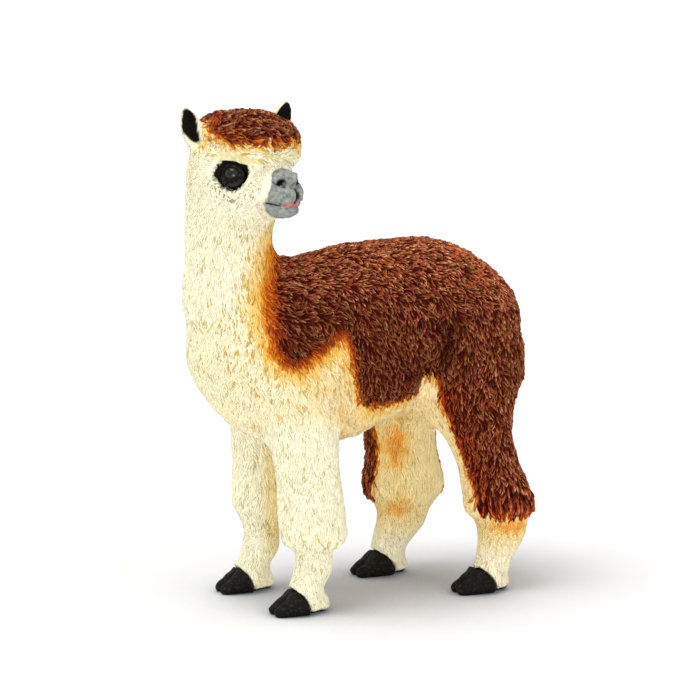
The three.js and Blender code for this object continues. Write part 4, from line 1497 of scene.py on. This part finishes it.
def make_stage():
    options = values_of("stage")
    scene = bpy.context.scene
    a, e = options.azimuth, options.elevation
    back = Vector((math.sin(a) * math.cos(e), -math.cos(a) * math.cos(e), math.sin(e)))
    right = Vector((0, 0, 1)).cross(back).normalized()
    target = Vector((-0.0004, (MID_Y + 0.9) * MM, options.aim))
    camera = bpy.data.objects.new("camera", bpy.data.cameras.new("camera"))
    scene.collection.objects.link(camera)
    camera.location = target + back * options.distance
    aim(camera, target)
    camera.data.sensor_width = 36
    camera.data.lens = options.lens
    camera.data.clip_start = 0.01
    camera.data.clip_end = 60
    scene.camera = camera

    level = Vector((back.x, back.y, 0)).normalized()
    add_sun("key", (level * 0.16 - right * 0.28 + Vector((0, 0, 1.0))).normalized(), options.key, 36)
    add_sun("side", (level * 0.6 + right * 0.8 + Vector((0, 0, 0.5))).normalized(), options.key * 0.25, 40)
    add_sun("low", (level - right * 0.15 + Vector((0, 0, 0.12))).normalized(), options.key * 0.78, 20)
    world = bpy.data.worlds.new("studio")
    scene.world = world
    world.use_nodes = True
    world.node_tree.nodes["Background"].inputs["Color"].default_value = (1, 1, 1, 1)
    strength = world.node_tree.nodes["Background"].inputs["Strength"]
    whiter = world.node_tree.nodes.new("ShaderNodeMath")
    whiter.operation = "MULTIPLY_ADD"
    whiter.inputs[1].default_value = 1 - options.fill
    whiter.inputs[2].default_value = options.fill
    world.node_tree.links.new(seen_by_rays(world.node_tree), whiter.inputs[0])
    world.node_tree.links.new(whiter.outputs[0], strength)

    deselect()
    bpy.ops.mesh.primitive_plane_add(size=24)
    floor = bpy.context.object
    floor.name = "floor"
    s = Shader("floor_white_with_painted_shadow")
    s.surface.inputs["Roughness"].default_value = 0.9
    s.surface.inputs["Specular IOR Level"].default_value = 0.0
    seen = seen_by_rays(s.material.node_tree)
    # Painted shadow: to the camera the floor turns blue-grey where ambient occlusion finds the figurine near,
    # on top of the shadows that the lamps cast.
    shade = s.node("ShaderNodeAmbientOcclusion", {"Distance": 0.05}, samples=6).outputs["AO"]
    near = s.mix(s.between(shade, 0.15, 0.95), (0.25, 0.29, 0.36, 1), (0.9, 0.9, 0.9, 1))
    s.colour(s.mix(seen, (0.9, 0.9, 0.9, 1), near))
    glow = s.node("ShaderNodeEmission", {"Color": (1, 1, 1, 1), "Strength": s.maths("MULTIPLY", seen, 0.05)})
    both = s.node("ShaderNodeAddShader", {0: s.surface.outputs[0], 1: glow.outputs[0]})
    output = next(n for n in s.nodes if n.type == "OUTPUT_MATERIAL")
    s.links.new(both.outputs[0], output.inputs["Surface"])
    floor.data.materials.append(s.material)
    scene.view_settings.view_transform = "Standard"
    deselect()


# ---- Operators ----

OWNERS_OF_SKIN = {}


class FIGURINE_OT_skin(bpy.types.Operator):
    """Build the one skin under the fleece, with the face carved into it"""

    bl_idname = "figurine.skin"
    bl_label = "Skin"

    def execute(self, context):
        skin, owner = make_skin()
        OWNERS_OF_SKIN["owner"] = owner
        context.scene["figurine_skin_name"] = skin.name
        return {"FINISHED"}


class FIGURINE_OT_coat(bpy.types.Operator):
    """Lay the carved locks of fleece over the skin"""

    bl_idname = "figurine.coat"
    bl_label = "Fleece"

    def execute(self, context):
        skin = bpy.data.objects[context.scene["figurine_skin_name"]]
        make_coat(skin, OWNERS_OF_SKIN["owner"])
        finish_piece(skin, "cream_fleece", *FLESH)
        return {"FINISHED"}


class FIGURINE_OT_eyes(bpy.types.Operator):
    """Set the glossy eyes between their lids"""

    bl_idname = "figurine.eyes"
    bl_label = "Eyes"

    def execute(self, context):
        for side, sign in SIDES.items():
            make_eye(side, sign)
        return {"FINISHED"}


class FIGURINE_OT_hooves(bpy.types.Operator):
    """Shape the black claws of each foot"""

    bl_idname = "figurine.hooves"
    bl_label = "Hooves"

    def execute(self, context):
        for leg in LEGS:
            make_hoof(leg)
        return {"FINISHED"}


class FIGURINE_OT_stage(bpy.types.Operator):
    """Set the camera, the lights and the pale floor"""

    bl_idname = "figurine.stage"
    bl_label = "Stage"

    def execute(self, context):
        make_stage()
        return {"FINISHED"}


class FIGURINE_PT_panel(bpy.types.Panel):
    """The figurine's pieces and their settings"""

    bl_idname = "FIGURINE_PT_panel"
    bl_label = "Toy alpaca figurine"
    bl_space_type = "VIEW_3D"
    bl_region_type = "UI"
    bl_category = "Figurine"

    def draw(self, context):
        for group, kind in GROUPS.items():
            box = self.layout.box()
            for name in kind.__annotations__:
                box.prop(getattr(context.scene, group), name)
        for operator in OPERATORS:
            self.layout.operator(operator.bl_idname)


GROUPS = {
    "figurine_skin": FIGURINE_PG_skin,
    "figurine_coat": FIGURINE_PG_coat,
    "figurine_paint": FIGURINE_PG_paint,
    "figurine_stage": FIGURINE_PG_stage,
}
OPERATORS = (
    FIGURINE_OT_skin,
    FIGURINE_OT_coat,
    FIGURINE_OT_eyes,
    FIGURINE_OT_hooves,
    FIGURINE_OT_stage,
)


def register():
    for kind in (*GROUPS.values(), *OPERATORS, FIGURINE_PT_panel):
        bpy.utils.register_class(kind)
    for name, kind in GROUPS.items():
        setattr(bpy.types.Scene, name, PointerProperty(type=kind))


def unregister():
    for name in GROUPS:
        delattr(bpy.types.Scene, name)
    for kind in (FIGURINE_PT_panel, *reversed(OPERATORS), *GROUPS.values()):
        bpy.utils.unregister_class(kind)


def main():
    register()
    bpy.ops.figurine.skin()
    bpy.ops.figurine.coat()
    bpy.ops.figurine.eyes()
    bpy.ops.figurine.hooves()
    bpy.ops.figurine.stage()


if __name__ == "__main__":
    main()
